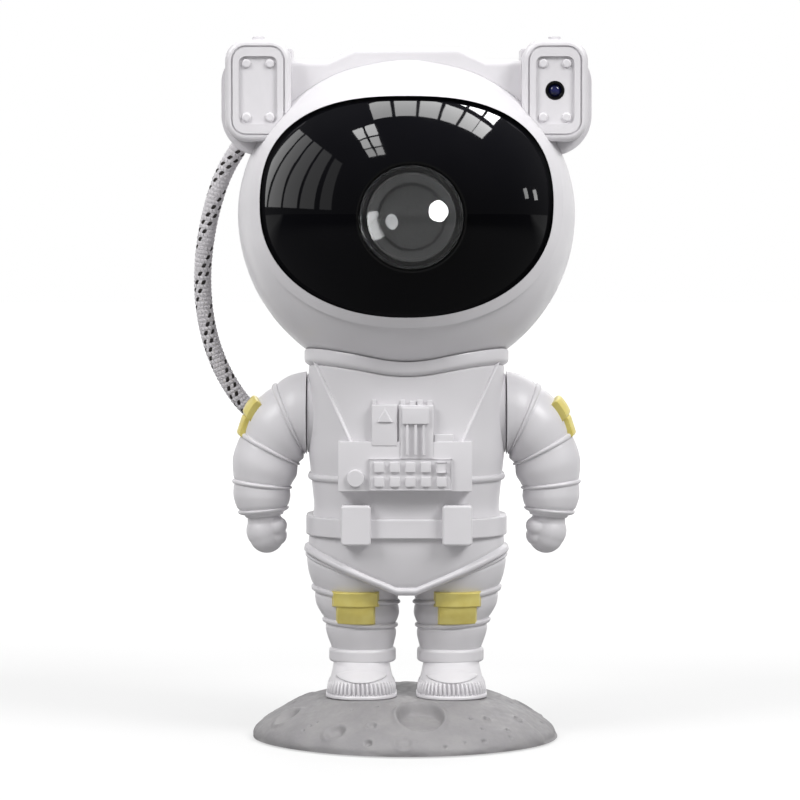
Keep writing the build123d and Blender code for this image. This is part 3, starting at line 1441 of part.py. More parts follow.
# ---------------------------------------------------------------- hose and its two glands
gland_turn_y = ear_back_y + hub_depth + gland_r + gland_ring_r + fit_gap
gland_turn = Vector(gland_high_x, gland_turn_y, gland_high_z)
hose_top = gland_turn + Vector(*gland_lean) * (gland_l + fit_gap)
hose_low = Vector(-pack_half_w - gland_l - 2 * fit_gap, gland_low_y, gland_low_z)


def gland_barrel(start, direction):
    """Straight sleeve with a rolled mouth and three grip rings, from start towards direction."""
    with BuildSketch(Plane(origin=start, z_dir=direction)) as section:
        Circle(gland_r)
    extrude(section.sketch, amount=gland_l)
    for ring in range(3):
        along = gland_l - gland_ring_r - 3.4 * gland_ring_r * ring
        with Locations(Plane(origin=start + direction * along, z_dir=direction)):
            Torus(gland_r, gland_ring_r)


with BuildPart() as hose_gland_upper:
    with BuildSketch(front_plane(ear_back_y + hub_depth, gland_high_x, gland_high_z)):
        Circle(gland_r - gland_wall)
    extrude(amount=gland_foot)
    with BuildSketch(front_plane(gland_turn_y, gland_high_x, gland_high_z)):
        Circle(gland_r)
    extrude(amount=gland_turn_y - ear_back_y - hub_depth - fit_gap)
    with Locations(gland_turn):
        Sphere(gland_r)
    gland_barrel(gland_turn, Vector(*gland_lean))
save(hose_gland_upper, "hose_gland_upper")

with BuildPart() as hose_gland_lower:
    with BuildSketch(Plane.YZ.offset(-pack_half_w - fit_gap)):
        with Locations((gland_low_y, gland_low_z)):
            Circle(gland_r - gland_wall)
    extrude(amount=gland_foot + fit_gap)
    gland_barrel(Vector(-pack_half_w - fit_gap, gland_low_y, gland_low_z), Vector(-1, 0, 0))
save(hose_gland_lower, "hose_gland_lower")

hose_points = [
    tuple(hose_top), tuple(hose_top + Vector(*gland_lean) * hose_lead), (-65.4, 25.5, 170.5),
    (-68.2, 28.3, 152.5), (-67.2, 30.8, 134.5), (-62.0, 32.8, 118.0), (-52.0, 34.4, 103.5),
    tuple(hose_low - Vector(hose_lead, 0, 0)), tuple(hose_low),
]
with BuildPart() as braided_hose:
    with BuildLine() as route:
        runs = [Vector(*b) - Vector(*a) for a, b in zip(hose_points, hose_points[1:])]
        bends = []
        for run, following in zip(runs, runs[1:]):
            turn = radians(run.get_angle(following))
            bends.append(0.45 * min(run.length, following.length) / tan(turn / 2))
        FilletPolyline(*hose_points, radius=bends)
    print("hose bends", [round(bend, 1) for bend in bends])
    with BuildSketch(Plane(origin=hose_points[0], z_dir=runs[0])):
        Circle(hose_d / 2)
    sweep(path=route.wire())
save(braided_hose, "braided_hose")
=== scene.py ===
import math

import bmesh
import bpy
import numpy as np
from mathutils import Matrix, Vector, noise


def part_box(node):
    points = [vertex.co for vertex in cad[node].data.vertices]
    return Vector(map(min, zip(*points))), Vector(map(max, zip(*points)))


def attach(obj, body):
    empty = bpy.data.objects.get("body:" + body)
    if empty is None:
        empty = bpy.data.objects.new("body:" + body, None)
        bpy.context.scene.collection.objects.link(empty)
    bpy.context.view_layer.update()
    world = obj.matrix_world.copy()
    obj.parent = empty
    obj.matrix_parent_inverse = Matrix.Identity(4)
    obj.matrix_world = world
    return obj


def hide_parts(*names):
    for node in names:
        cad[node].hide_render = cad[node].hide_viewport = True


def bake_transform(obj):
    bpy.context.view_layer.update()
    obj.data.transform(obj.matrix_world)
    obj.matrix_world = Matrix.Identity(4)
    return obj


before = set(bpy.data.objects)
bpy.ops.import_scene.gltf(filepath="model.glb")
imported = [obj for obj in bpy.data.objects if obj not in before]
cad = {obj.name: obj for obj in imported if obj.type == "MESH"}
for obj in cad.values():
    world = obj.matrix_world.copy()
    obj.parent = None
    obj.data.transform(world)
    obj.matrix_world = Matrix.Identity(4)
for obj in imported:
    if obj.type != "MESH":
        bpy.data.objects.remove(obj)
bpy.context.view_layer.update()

mm = 0.001


# ---------------------------------------------------------------------------
# Camera. A long lens stands level with the helmet, 1.2 m in front of the
# figure, and looks a little down, so that the top of the moon base shows.
# ---------------------------------------------------------------------------
camera_place = Vector((-2.1, -1200, 170)) * mm
camera_aim = Vector((-2.1, 0, 110.2)) * mm
camera_data = bpy.data.cameras.new("camera")
camera_data.sensor_width = 36
camera_data.lens = 165.9
camera_data.clip_start = 0.05
camera_data.clip_end = 30
camera = bpy.data.objects.new("camera", camera_data)
camera.location = camera_place
camera.rotation_euler = (camera_aim - camera_place).to_track_quat("-Z", "Y").to_euler()
bpy.context.scene.collection.objects.link(camera)
bpy.context.scene.camera = camera


# ---------------------------------------------------------------------------
# Studio. A white floor in a white room, a soft box on either side of the camera,
# a large soft light overhead, one behind, and a round lamp for the lens alone.
# ---------------------------------------------------------------------------
def rgb(red, green, blue):
    """A colour as it looks on a screen, 0 to 255, as the linear values that Blender mixes."""
    parts = [value / 255 for value in (red, green, blue)]
    return tuple(v / 12.92 if v <= 0.04045 else ((v + 0.055) / 1.055) ** 2.4 for v in parts)


def reckon(tree, operation, first, second):
    """A product, a comparison or the like of two values, each another node's output or a number."""
    node = tree.nodes.new("ShaderNodeMath")
    node.operation = operation
    for socket, value in zip(node.inputs, (first, second)):
        if isinstance(value, float):
            socket.default_value = value
        else:
            tree.links.new(value, socket)
    return node.outputs[0]


def ramp(tree, value, start, stop, low=0.0, high=1.0):
    """The value, with its run from start to stop turned into one from low to high."""
    node = tree.nodes.new("ShaderNodeMapRange")
    for name, number in (("From Min", start), ("From Max", stop), ("To Min", low), ("To Max", high)):
        node.inputs[name].default_value = number
    tree.links.new(value, node.inputs["Value"])
    return node.outputs["Result"]


def behind(tree, place, start, stop):
    """Runs from 0 to 1 as a place goes from start to stop along Y, away from the camera."""
    split = tree.nodes.new("ShaderNodeSeparateXYZ")
    tree.links.new(place, split.inputs[0])
    return ramp(tree, split.outputs["Y"], start, stop)


bpy.context.scene.view_settings.view_transform = "Standard"
room = bpy.data.worlds.new("room")
bpy.context.scene.world = room
room.use_nodes = True
room_tree = room.node_tree
room_light = room_tree.nodes["Background"]
room_light.inputs["Color"].default_value = (1, 1, 1, 1)
room_light.inputs["Strength"].default_value = 0.31
room_white = room_tree.nodes.new("ShaderNodeBackground")
room_white.inputs["Color"].default_value = (1, 1, 1, 1)
room_white.inputs["Strength"].default_value = 1
# the camera sees the room white, also straight through glass
room_ray = room_tree.nodes.new("ShaderNodeLightPath").outputs
room_direct = reckon(room_tree, "LESS_THAN", room_ray["Diffuse Depth"], 0.5)
room_through = reckon(room_tree, "MULTIPLY", room_ray["Is Transmission Ray"], room_direct)
room_seen = reckon(room_tree, "MAXIMUM", room_ray["Is Camera Ray"], room_through)
# behind the object a mirror sees the white backdrop, towards the camera the darker room
room_way = room_tree.nodes.new("ShaderNodeTexCoord").outputs["Generated"]
room_behind = behind(room_tree, room_way, 0.55, 0.75)
room_mirrored = reckon(room_tree, "MULTIPLY", room_behind, room_ray["Is Glossy Ray"])
room_mix = room_tree.nodes.new("ShaderNodeMixShader")
for socket, value in zip(room_mix.inputs, (reckon(room_tree, "MAXIMUM", room_seen, room_mirrored),
                                           room_light.outputs[0], room_white.outputs[0])):
    room_tree.links.new(value, socket)
room_tree.links.new(room_mix.outputs[0], room_tree.nodes["World Output"].inputs["Surface"])

floor_half = 6.0
bpy.ops.mesh.primitive_plane_add(size=2 * floor_half)
floor = bpy.context.object
floor.name = "floor"
floor_paint = bpy.data.materials.new("floor_paint")
floor_paint.use_nodes = True
floor_tree = floor_paint.node_tree
floor_shader = floor_tree.nodes["Principled BSDF"]
floor_shader.inputs["Base Color"].default_value = (0.3, 0.3, 0.3, 1)
floor_shader.inputs["Roughness"].default_value = 0.9
floor_shader.inputs["Specular IOR Level"].default_value = 0.1
floor_shader.inputs["Emission Color"].default_value = (1, 1, 1, 1)
# the floor looks white too, and close to the object it glows less, so that the shade shows
floor_place = floor_tree.nodes.new("ShaderNodeNewGeometry").outputs["Position"]
floor_reach = floor_tree.nodes.new("ShaderNodeVectorMath")
floor_reach.operation = "LENGTH"
floor_tree.links.new(floor_place, floor_reach.inputs[0])
floor_fade = ramp(floor_tree, floor_reach.outputs["Value"], 0.2, 1.2, 0.6, 1.0)
floor_ray = floor_tree.nodes.new("ShaderNodeLightPath").outputs
floor_seen = reckon(floor_tree, "MAXIMUM", floor_ray["Is Camera Ray"], floor_ray["Is Transmission Ray"])
floor_behind = behind(floor_tree, floor_place, 0.1, 0.4)
floor_mirrored = reckon(floor_tree, "MULTIPLY", floor_behind, floor_ray["Is Glossy Ray"])
floor_any = reckon(floor_tree, "MAXIMUM", floor_seen, floor_mirrored)
floor_tree.links.new(reckon(floor_tree, "MULTIPLY", floor_fade, floor_any),
                     floor_shader.inputs["Emission Strength"])
floor.data.materials.append(floor_paint)


def soft_box(name, place, target, width, tall, watts, shape="RECTANGLE"):
    """An area lamp at place that faces target, both in metres."""
    lamp = bpy.data.lights.new(name, "AREA")
    lamp.shape = shape
    lamp.size, lamp.size_y, lamp.energy = width, tall, watts
    holder = bpy.data.objects.new(name, lamp)
    holder.location = place
    holder.rotation_euler = (Vector(target) - holder.location).to_track_quat("-Z", "Y").to_euler()
    holder.visible_camera = False
    bpy.context.scene.collection.objects.link(holder)
    return holder


figure_middle = (0, 0, 0.12)
right_lamp = soft_box("right_lamp", (0.78, -0.66, 0.92), figure_middle, 0.5, 0.5, 11)
left_lamp = soft_box("left_lamp", (-0.78, -0.66, 0.92), figure_middle, 0.5, 0.6, 9.3)
top_lamp = soft_box("top_lamp", (0, -0.1, 1.5), figure_middle, 1.0, 1.0, 7.5)
back_lamp = soft_box("back_lamp", (0.3, 1.3, 0.9), figure_middle, 0.8, 0.8, 4)
lens_lamp = soft_box("lens_lamp", (0.69, -0.98, 0.32), figure_middle, 0.55, 0.55, 34, "DISK")


# ---------------------------------------------------------------------------
# Moon base. A hollow dish-shaped moulding in rough grey plastic, pitted with
# craters; a ballast plate closes it below and four long screws hold the boots.
# ---------------------------------------------------------------------------
def new_finish(name, colour, roughness, metal=0.0):
    """A material whose grain, tint and bumps are added by the functions below."""
    finish = bpy.data.materials.new(name)
    finish.use_nodes = True
    shader = finish.node_tree.nodes["Principled BSDF"]
    shader.inputs["Base Color"].default_value = (*colour, 1)
    shader.inputs["Roughness"].default_value = roughness
    shader.inputs["Metallic"].default_value = metal
    return finish


def clouds(finish, size, detail=3.0, stretch=(1, 1, 1)):
    """Cloudy noise in the piece's own space, with blots of about that size in metres."""
    nodes, links = finish.node_tree.nodes, finish.node_tree.links
    place = nodes.new("ShaderNodeTexCoord")
    mapping = nodes.new("ShaderNodeMapping")
    mapping.inputs["Scale"].default_value = stretch
    texture = nodes.new("ShaderNodeTexNoise")
    texture.inputs["Scale"].default_value = 1 / size
    texture.inputs["Detail"].default_value = detail
    links.new(place.outputs["Object"], mapping.inputs["Vector"])
    links.new(mapping.outputs["Vector"], texture.inputs["Vector"])
    return texture.outputs["Fac"]


def spread(finish, value, low, high):
    """The pattern's middle values stretched to run from low to high."""
    return ramp(finish.node_tree, value, 0.35, 0.65, low, high)


def tint(finish, value, dark, light):
    """The base colour runs from dark to light with the pattern."""
    nodes, links = finish.node_tree.nodes, finish.node_tree.links
    mix = nodes.new("ShaderNodeMix")
    mix.data_type = "RGBA"
    mix.inputs["A"].default_value = (*dark, 1)
    mix.inputs["B"].default_value = (*light, 1)
    links.new(spread(finish, value, 0, 1), mix.inputs["Factor"])
    links.new(mix.outputs["Result"], nodes["Principled BSDF"].inputs["Base Color"])


def polish(finish, value, low, high):
    """The roughness runs from low to high with the pattern."""
    target = finish.node_tree.nodes["Principled BSDF"].inputs["Roughness"]
    finish.node_tree.links.new(spread(finish, value, low, high), target)


def emboss(finish, value, depth):
    """Adds the pattern to the surface as bumps of that depth in metres, on top of earlier ones."""
    nodes, links = finish.node_tree.nodes, finish.node_tree.links
    normal = nodes["Principled BSDF"].inputs["Normal"]
    bump = nodes.new("ShaderNodeBump")
    bump.inputs["Distance"].default_value = depth
    links.new(value, bump.inputs["Height"])
    if normal.is_linked:
        links.new(normal.links[0].from_socket, bump.inputs["Normal"])
    links.new(bump.outputs["Normal"], normal)


def dress(finish, slot, *names):
    """Gives CAD nodes this material; the slot argument is not used."""
    for name in names:
        for place in cad[name].material_slots:
            place.material = finish


moon_rock = new_finish("moon_rock", rgb(146, 144, 145), 0.6)
tint(moon_rock, clouds(moon_rock, 9 * mm, detail=6), rgb(141, 139, 141), rgb(150, 148, 149))
polish(moon_rock, clouds(moon_rock, 2 * mm), 0.5, 0.72)
emboss(moon_rock, clouds(moon_rock, 0.5 * mm), 0.06 * mm)

ground_low, ground_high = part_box("moon_base")
lowest, highest = ground_low[2] / mm, ground_high[2] / mm
foot_r = 47.0                 # inner edge of the ring that the base stands on
plate_room_r = 43.25          # recess for the ballast plate
plate_room_z = 3.2
plateau = 14.3                # height of the level ground under the boots
# distance from the middle and height of the ground's outline, from the plateau to the foot
ground_line = np.array([
    (0.0, plateau), (26.0, plateau), (29.0, 14.05), (32.0, 13.2), (35.0, 11.9), (38.5, 10.2),
    (42.0, 8.3), (45.2, 6.3), (47.6, 4.4), (49.0, 2.8), (49.5, 1.4), (49.3, 0.5),
])
# pits: turn about +Z from the front in degrees towards +X, distance, radius, depth, rim's height
ground_pits = [
    (-30.6, 44.1, 3.6, 1.1, 0.25), (-14.7, 47.5, 1.5, 0.9, 0.1), (-15.6, 41.0, 1.8, 0.7, 0.2),
    (-1.0, 47.4, 2.8, 0.6, 0.15), (30.9, 47.6, 1.2, 0.6, 0.1), (14.4, 48.6, 0.8, 0.5, 0.05),
    (22.6, 47.6, 0.7, 0.45, 0.05), (31.7, 38.4, 0.8, 0.5, 0.1), (40.3, 39.2, 1.3, 0.7, 0.15),
    (33.6, 43.3, 0.9, 0.5, 0.1), (45.5, 44.8, 1.0, 0.6, 0.1), (43.7, 47.3, 0.8, 0.4, 0.05),
    (58.6, 41.4, 1.3, 0.5, 0.3), (-52.7, 47.2, 0.6, 0.35, 0.05), (-46.8, 44.9, 0.9, 0.5, 0.1),
    (-45.4, 43.0, 0.9, 0.5, 0.1), (-43.7, 41.0, 0.8, 0.45, 0.1), (-31.5, 33.1, 0.7, 0.4, 0.1),
    (-17.6, 30.7, 0.7, 0.4, 0.1), (-68.0, 41.0, 4.6, 1.3, 0.3), (-88.0, 36.5, 1.1, 0.6, 0.1),
    (-97.0, 45.5, 1.4, 0.7, 0.1), (-118.0, 40.0, 5.4, 1.5, 0.35), (-140.0, 45.5, 1.9, 0.8, 0.2),
    (-150.0, 35.0, 1.2, 0.6, 0.15), (176.0, 37.5, 6.6, 2.1, 0.4), (157.0, 44.5, 1.5, 0.7, 0.1),
    (138.0, 42.0, 3.4, 1.0, 0.25), (123.0, 36.0, 1.0, 0.5, 0.1), (112.0, 45.0, 1.6, 0.7, 0.15),
    (96.0, 40.0, 4.4, 1.2, 0.3), (79.0, 45.0, 1.2, 0.6, 0.1), (84.0, 34.5, 0.8, 0.4, 0.1),
]
main_crater = (7.0, 35.6, 6.9, 8.1)      # turn, distance, radius of its floor and of its rim's crest
crater_depth, crest_rise = 2.4, 0.8
ground_columns = 640


def new_piece(name, mesh, finishes, body, nodes, sharp=None):
    """A finished mesh as a piece that rides a body in place of CAD nodes; sharp is in degrees."""
    data = bpy.data.meshes.new(name)
    mesh.to_mesh(data)
    mesh.free()
    if sharp:
        data.set_sharp_from_angle(angle=math.radians(sharp))
    for finish in finishes:
        data.materials.append(finish)
    piece = bpy.data.objects.new(name, data)
    bpy.context.scene.collection.objects.link(piece)
    if body:
        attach(piece, body)
    for node in nodes:
        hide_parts(node)
    return piece


def lofted(name, lofts, finish, slot, body, *nodes, sharp=35, hoop=False):
    """One piece from lofts of rows of points, each capped at both ends or joined into a hoop."""
    mesh = bmesh.new()
    for rows in lofts:
        verts = [[mesh.verts.new(Vector(point) * mm) for point in row] for row in rows]
        count = len(verts[0])
        for upper, lower in zip(verts, verts[1:] + (verts[:1] if hoop else [])):
            for j in range(count):
                k = (j + 1) % count
                mesh.faces.new((upper[j], upper[k], lower[k], lower[j])).smooth = True
        for row in () if hoop else (verts[0], verts[-1]):
            middle = mesh.verts.new(sum((v.co for v in row), Vector()) / count)
            for j in range(count):
                mesh.faces.new((row[j], row[(j + 1) % count], middle)).smooth = True
    bmesh.ops.recalc_face_normals(mesh, faces=mesh.faces)
    return new_piece(name, mesh, [finish], body, nodes, sharp)


def ground_spot(turn, distance):
    """A place on the smooth ground, in millimetres."""
    turn = np.radians(turn)
    return np.array([distance * np.sin(turn), -distance * np.cos(turn),
                     np.interp(distance, ground_line[:, 0], ground_line[:, 1])])


def smooth_step(low, high, value):
    """0 below low and 1 above high, with a smooth rise between them."""
    share = np.clip((value - low) / (high - low), 0, 1)
    return share * share * (3 - 2 * share)


def ground_rows():
    """The ground as the rows of a fine polar grid, then its foot ring and the recess below."""
    steps = np.linalg.norm(np.diff(ground_line, axis=0), axis=1)
    along = np.concatenate([[0], np.cumsum(steps)])
    # the outline's corners are softened: each point moves towards its neighbours, again and again
    fine = np.linspace(0, along[-1], 150)[1:]
    soft = np.stack([np.interp(fine, along, ground_line[:, k]) for k in range(2)], axis=1)
    for _ in range(14):
        soft[1:-1] = (soft[:-2] + 2 * soft[1:-1] + soft[2:]) / 4
    # seen from above the foot isn't quite round
    turns = np.linspace(0, math.tau, ground_columns, endpoint=False)
    wander = 0.008 * np.sin(3 * turns + 0.8) + 0.005 * np.sin(5 * turns + 2.1) - 0.004
    reach = soft[:, 0, None] * (1 + wander * smooth_step(24, 40, soft[:, 0, None]))
    x, y = reach * np.sin(turns), -reach * np.cos(turns)
    z = np.repeat(soft[:, 1, None], ground_columns, axis=1)
    place = np.stack([x, y, z], axis=-1)
    # outward direction of the outline, for the pits and the rough surface
    slope = np.gradient(soft, axis=0)
    normal = np.stack([-slope[:, 1], slope[:, 0]], axis=1)
    normal /= np.linalg.norm(normal, axis=1, keepdims=True)
    normal = np.where(normal[:, 1:2] < 0, -normal, normal)
    outward = np.stack([normal[:, 0, None] * np.sin(turns), -normal[:, 0, None] * np.cos(turns),
                        np.repeat(normal[:, 1, None], ground_columns, axis=1)], axis=-1)
    raised = np.zeros(place.shape[:2])
    for turn, distance, radius, depth, rim in ground_pits:
        away = np.linalg.norm(place - ground_spot(turn, distance), axis=-1) / radius
        raised -= 1.15 * depth * smooth_step(0, 0.55, 1 - away)
        raised += 1.3 * rim * np.exp(-((away - 1.08) / 0.2) ** 2)
    # the level ground under the boots and the lower edge of the foot stay smooth
    bed = smooth_step(25.5, 29.5, soft[:, 0])[:, None] * smooth_step(0.3, 1.6, soft[:, 1])[:, None]
    rough = np.zeros_like(raised)
    for size, height in ((8.0, 0.4), (2.4, 0.1), (0.9, 0.04)):
        rough += height * np.array([[noise.noise(Vector(p) / size) for p in row] for row in place])
    raised = (raised + rough) * bed
    place += outward * raised[..., None]
    # the main crater: an almost level floor in a round wall whose crest stands out of the slope
    turn, distance, floor_r, crest_r = main_crater
    centre = ground_spot(turn, distance)
    across = np.hypot(place[..., 0] - centre[0], (place[..., 1] - centre[1]) * 0.94)
    down_slope = (place[..., 0] * centre[0] + place[..., 1] * centre[1]) / np.hypot(*centre[:2]) - distance
    floor_z = centre[2] - crater_depth - 0.2 * down_slope + 0.25 * rough
    crest = crest_rise * np.exp(-((across - crest_r) / 0.9) ** 2)
    inside = 1 - smooth_step(floor_r - 0.5, floor_r + 0.8, across)
    place[..., 2] = (place[..., 2] + crest) * (1 - inside) + np.minimum(floor_z, place[..., 2]) * inside
    # a crease on the right, beyond which the ground lies lower, and one on the left
    bearing = np.degrees(np.arctan2(place[..., 0], -place[..., 1]))
    step = smooth_step(62, 66, bearing) - smooth_step(100, 130, bearing)
    fold = smooth_step(-76, -71, bearing) - smooth_step(-70, -58, bearing)
    place -= outward * ((0.6 * step + 0.35 * fold) * bed)[..., None]
    # nothing stands out past the plain solid's height, or far past its foot
    place[..., 2] = np.clip(place[..., 2], lowest, highest)
    place[..., :2] *= 1.012
    limit = ground_high[0] / mm + 0.4
    beyond = np.hypot(place[..., 0], place[..., 1]) / limit
    place[..., :2] /= np.maximum(beyond, 1)[..., None]
    under = ((foot_r, lowest), (plate_room_r, lowest), (plate_room_r, plate_room_z))
    return [*place, *([(radius * np.sin(t), -radius * np.cos(t), height) for t in turns]
                      for radius, height in under)]


lofted("moon_ground", [ground_rows()], moon_rock, "moon", "torso", "moon_base", sharp=60)

ballast_steel = new_finish("ballast_steel", rgb(180, 180, 182), 0.42, metal=1)
polish(ballast_steel, clouds(ballast_steel, 4 * mm, detail=5), 0.32, 0.5)
tint(ballast_steel, clouds(ballast_steel, 12 * mm), rgb(168, 168, 172), rgb(190, 190, 192))
dress(ballast_steel, "steel", "base_plate", "base_screws", "boot_screws")

foam_rubber = new_finish("foam_rubber", rgb(38, 38, 40), 0.9)
tint(foam_rubber, clouds(foam_rubber, 0.8 * mm, detail=5), rgb(30, 30, 32), rgb(48, 48, 50))
emboss(foam_rubber, clouds(foam_rubber, 0.6 * mm, detail=4), 0.15 * mm)
dress(foam_rubber, "pad_rubber", "base_pad")


# ---------------------------------------------------------------------------
# Suit. Torso, limbs and helmet are injection mouldings in satin grey-white
# plastic, straight from a finely spark-eroded mould.
# ---------------------------------------------------------------------------
def moulded(name, dark, light, satin, grain):
    """Moulded plastic: faint flow clouds, fine mould texture and a roughness that drifts."""
    finish = new_finish(name, light, satin)
    tint(finish, clouds(finish, 30 * mm, detail=2), dark, light)
    polish(finish, clouds(finish, 7 * mm, detail=4), satin - 0.05, satin + 0.05)
    emboss(finish, clouds(finish, 0.35 * mm, detail=2), grain)
    return finish


suit_plastic = moulded("suit_plastic", rgb(214, 212, 215), rgb(220, 218, 221), 0.38, 0.012 * mm)
dress(suit_plastic, "suit", "boot_cuffs", "collar_ring", "neck_turntable", "belt", "belt_pouches",
      "chest_dial", "backpack", "ear_block_left", "ear_block_right", "ear_plates", "ear_hub_left",
      "ear_hub_right", "ear_rivets", "helmet_bridge", "hose_gland_upper", "hose_gland_lower")
helmet_plastic = moulded("helmet_plastic", rgb(217, 215, 218), rgb(223, 221, 224), 0.34, 0.006 * mm)
dress(helmet_plastic, "suit_gloss", "helmet_front_shell", "helmet_rear_shell")

gold_paint = new_finish("gold_paint", rgb(226, 210, 118), 0.34, metal=0.1)
tint(gold_paint, clouds(gold_paint, 5 * mm, detail=3), rgb(221, 204, 110), rgb(230, 216, 128))
polish(gold_paint, clouds(gold_paint, 2 * mm), 0.3, 0.44)
emboss(gold_paint, clouds(gold_paint, 0.4 * mm), 0.02 * mm)


# ---------------------------------------------------------------------------
# Limbs. Arms and legs are moulded hollow with padded folds and raised piping;
# the arms snap into the torso's sides and turn there, the legs are fixed.
# ---------------------------------------------------------------------------
def through(places, values, wanted):
    """A smooth curve through values at places (Catmull-Rom)."""
    places, values = np.asarray(places, float), np.asarray(values, float)
    slopes = np.gradient(values, places)
    k = np.clip(np.searchsorted(places, wanted, side="right") - 1, 0, len(places) - 2)
    wide = places[k + 1] - places[k]
    t = (wanted - places[k]) / wide
    return ((1 + 2 * t) * (1 - t) ** 2 * values[k] + t * (1 - t) ** 2 * wide * slopes[k]
            + t * t * (3 - 2 * t) * values[k + 1] + t * t * (t - 1) * wide * slopes[k + 1])


limb_columns = 120
# where rows lie across a cord, in shares of its radius
cord_steps = (-1.02, -0.99, -0.93, -0.8, -0.6, -0.3, 0, 0.3, 0.6, 0.8, 0.93, 0.99, 1.02)
pad_root = 0.8                # how far under the skin a pad begins
pad_points = 24


class Limb:
    """A limb's skin: sections of x, z, tilt, half width and half depth, with raised cords."""

    def __init__(self, sections, cords, side):
        self.table = np.array(sections, float)
        self.side = side
        steps = np.hypot(*np.diff(self.table[:, :2], axis=0).T)
        self.along = np.concatenate([[0], np.cumsum(steps)])
        self.length = self.along[-1]
        self.cords = [(self.along[place], cord) for place, cord in cords.items()]

    def at(self, s, *columns):
        """The sections' values in those columns, at a distance down the limb."""
        return [through(self.along, self.table[:, k], s) for k in columns]

    def skin(self, s, angle, grow=0.0):
        """Points on the skin, or that far outside it, at a distance down the limb and an angle."""
        x, z, tilt, half_w, half_d = self.at(s, 0, 1, 2, 3, 4)
        for place, cord in self.cords:
            away = np.abs(s - place) / cord
            rise = cord * np.sqrt(np.clip(1 - away ** 2, 0, 1))
            pinch = 0.35 * cord * np.exp(-((away - 1.25) / 0.45) ** 2)
            half_w, half_d = half_w + rise - pinch, half_d + rise - pinch
        lean = np.radians(tilt)
        reach = (half_w + grow) * np.cos(angle)
        return np.stack([-self.side * (x + reach * np.cos(lean)), (half_d + grow) * np.sin(angle),
                         z - reach * np.sin(lean)], axis=-1)

    def rows(self, step=0.33):
        """The skin's rows, closer together across each cord."""
        s = [*np.arange(0, self.length, step), self.length]
        for place, cord in self.cords:
            s += [place + cord * share for share in cord_steps]
        s = np.unique(np.clip(s, 0, self.length))
        angle = np.linspace(0, math.tau, limb_columns, endpoint=False)
        return self.skin(*np.meshgrid(s, angle, indexing="ij"))

    def pad(self, s_low, s_high, angle_low, angle_high, thick, edge):
        """A pad that follows the skin, with softened edges, as a closed sheet's rows."""
        bare = Limb(self.table, {}, self.side)
        s, angle = np.linspace(s_low, s_high, pad_points), np.linspace(angle_low, angle_high, pad_points)
        mean_r = self.table[:, 3:5].mean()
        lift = pad_lift((s - s_low, s_high - s),
                        ((angle - angle_low) * mean_r, (angle_high - angle) * mean_r), thick, edge)
        grid = np.meshgrid(s, angle, indexing="ij")
        return sheet(bare.skin(*grid, lift), bare.skin(*grid, -pad_root))

    def front_pad(self, x_low, x_high, z_low, z_high, thick, edge):
        """A level pad on the limb's front, as a closed sheet's rows."""
        x, z = np.linspace(x_low, x_high, pad_points), np.linspace(z_low, z_high, pad_points)
        lift = pad_lift((z - z_low, z_high - z), (x - x_low, x_high - x), thick, edge)
        grid_z, grid_x = np.meshgrid(z, x, indexing="ij")
        # how far down the limb the leaning section through each point lies
        s = np.interp(-grid_z, -self.table[:, 1], self.along)
        for _ in range(4):
            mid_x, mid_z, tilt = self.at(s, 0, 1, 2)
            lean = np.radians(tilt)
            s = s - (grid_x - mid_x) * np.sin(lean) - (grid_z - mid_z) * np.cos(lean)
        half_w, half_d = self.at(s, 3, 4)
        across = (grid_x - mid_x) * np.cos(lean) - (grid_z - mid_z) * np.sin(lean)
        depth = half_d * np.sqrt(np.clip(1 - (across / half_w) ** 2, 0, 1))
        return sheet(*(np.stack([-self.side * grid_x, -depth - grow, grid_z], axis=-1)
                       for grow in (lift, -pad_root)))


def pad_lift(rows, columns, thick, edge):
    """How far a pad stands out: thick in its middle, rounded off towards its four edges."""
    share = np.minimum.outer(*(np.clip(np.minimum(*pair) / edge, 0, 1) for pair in (rows, columns)))
    return thick * np.sqrt(1 - (1 - share) ** 2)


def sheet(top, under):
    """Closed rows round a sheet with an upper and a lower side."""
    return [list(upper) + list(lower[::-1]) for upper, lower in zip(top, under)]


leg_sections = [
    (-17.5, 57.5, 23.0, 15.2, 18.6), (-17.5, 54.6, 20.0, 15.9, 18.4), (-17.3, 50.9, 15.0, 15.2, 17.3),
    (-16.5, 46.7, 9.3, 13.9, 15.6), (-15.9, 42.2, 6.5, 13.6, 14.6), (-15.1, 37.6, 4.0, 11.6, 12.6),
    (-14.8, 34.4, 2.0, 11.4, 12.0), (-14.4, 29.5, 0.0, 10.0, 10.4),
]
leg_cords = {1: 0.6, 3: 0.85, 5: 0.8}
arm_pivot_z = 106.0
arm_face_x = 32.5             # the flat joint face at the shoulder
arm_sections = [
    (-arm_face_x, arm_pivot_z, 90.0, 13.6, 13.7),
    (-35.4, 105.6, 78.0, 12.9, 13.3), (-38.2, 104.0, 66.0, 12.0, 12.6),
    (-41.9, 99.9, 46.0, 12.0, 12.2), (-44.6, 94.4, 28.0, 10.6, 10.8), (-46.2, 88.6, 16.0, 10.8, 10.8),
    (-47.1, 82.7, 6.5, 9.3, 9.4), (-47.1, 78.2, 0.0, 9.2, 9.2), (-46.6, 74.1, -6.0, 7.5, 7.6),
    (-46.3, 72.4, -6.0, 6.0, 6.0),
]
arm_cords = {2: 0.6, 4: 0.65, 6: 0.6, 8: 0.75}
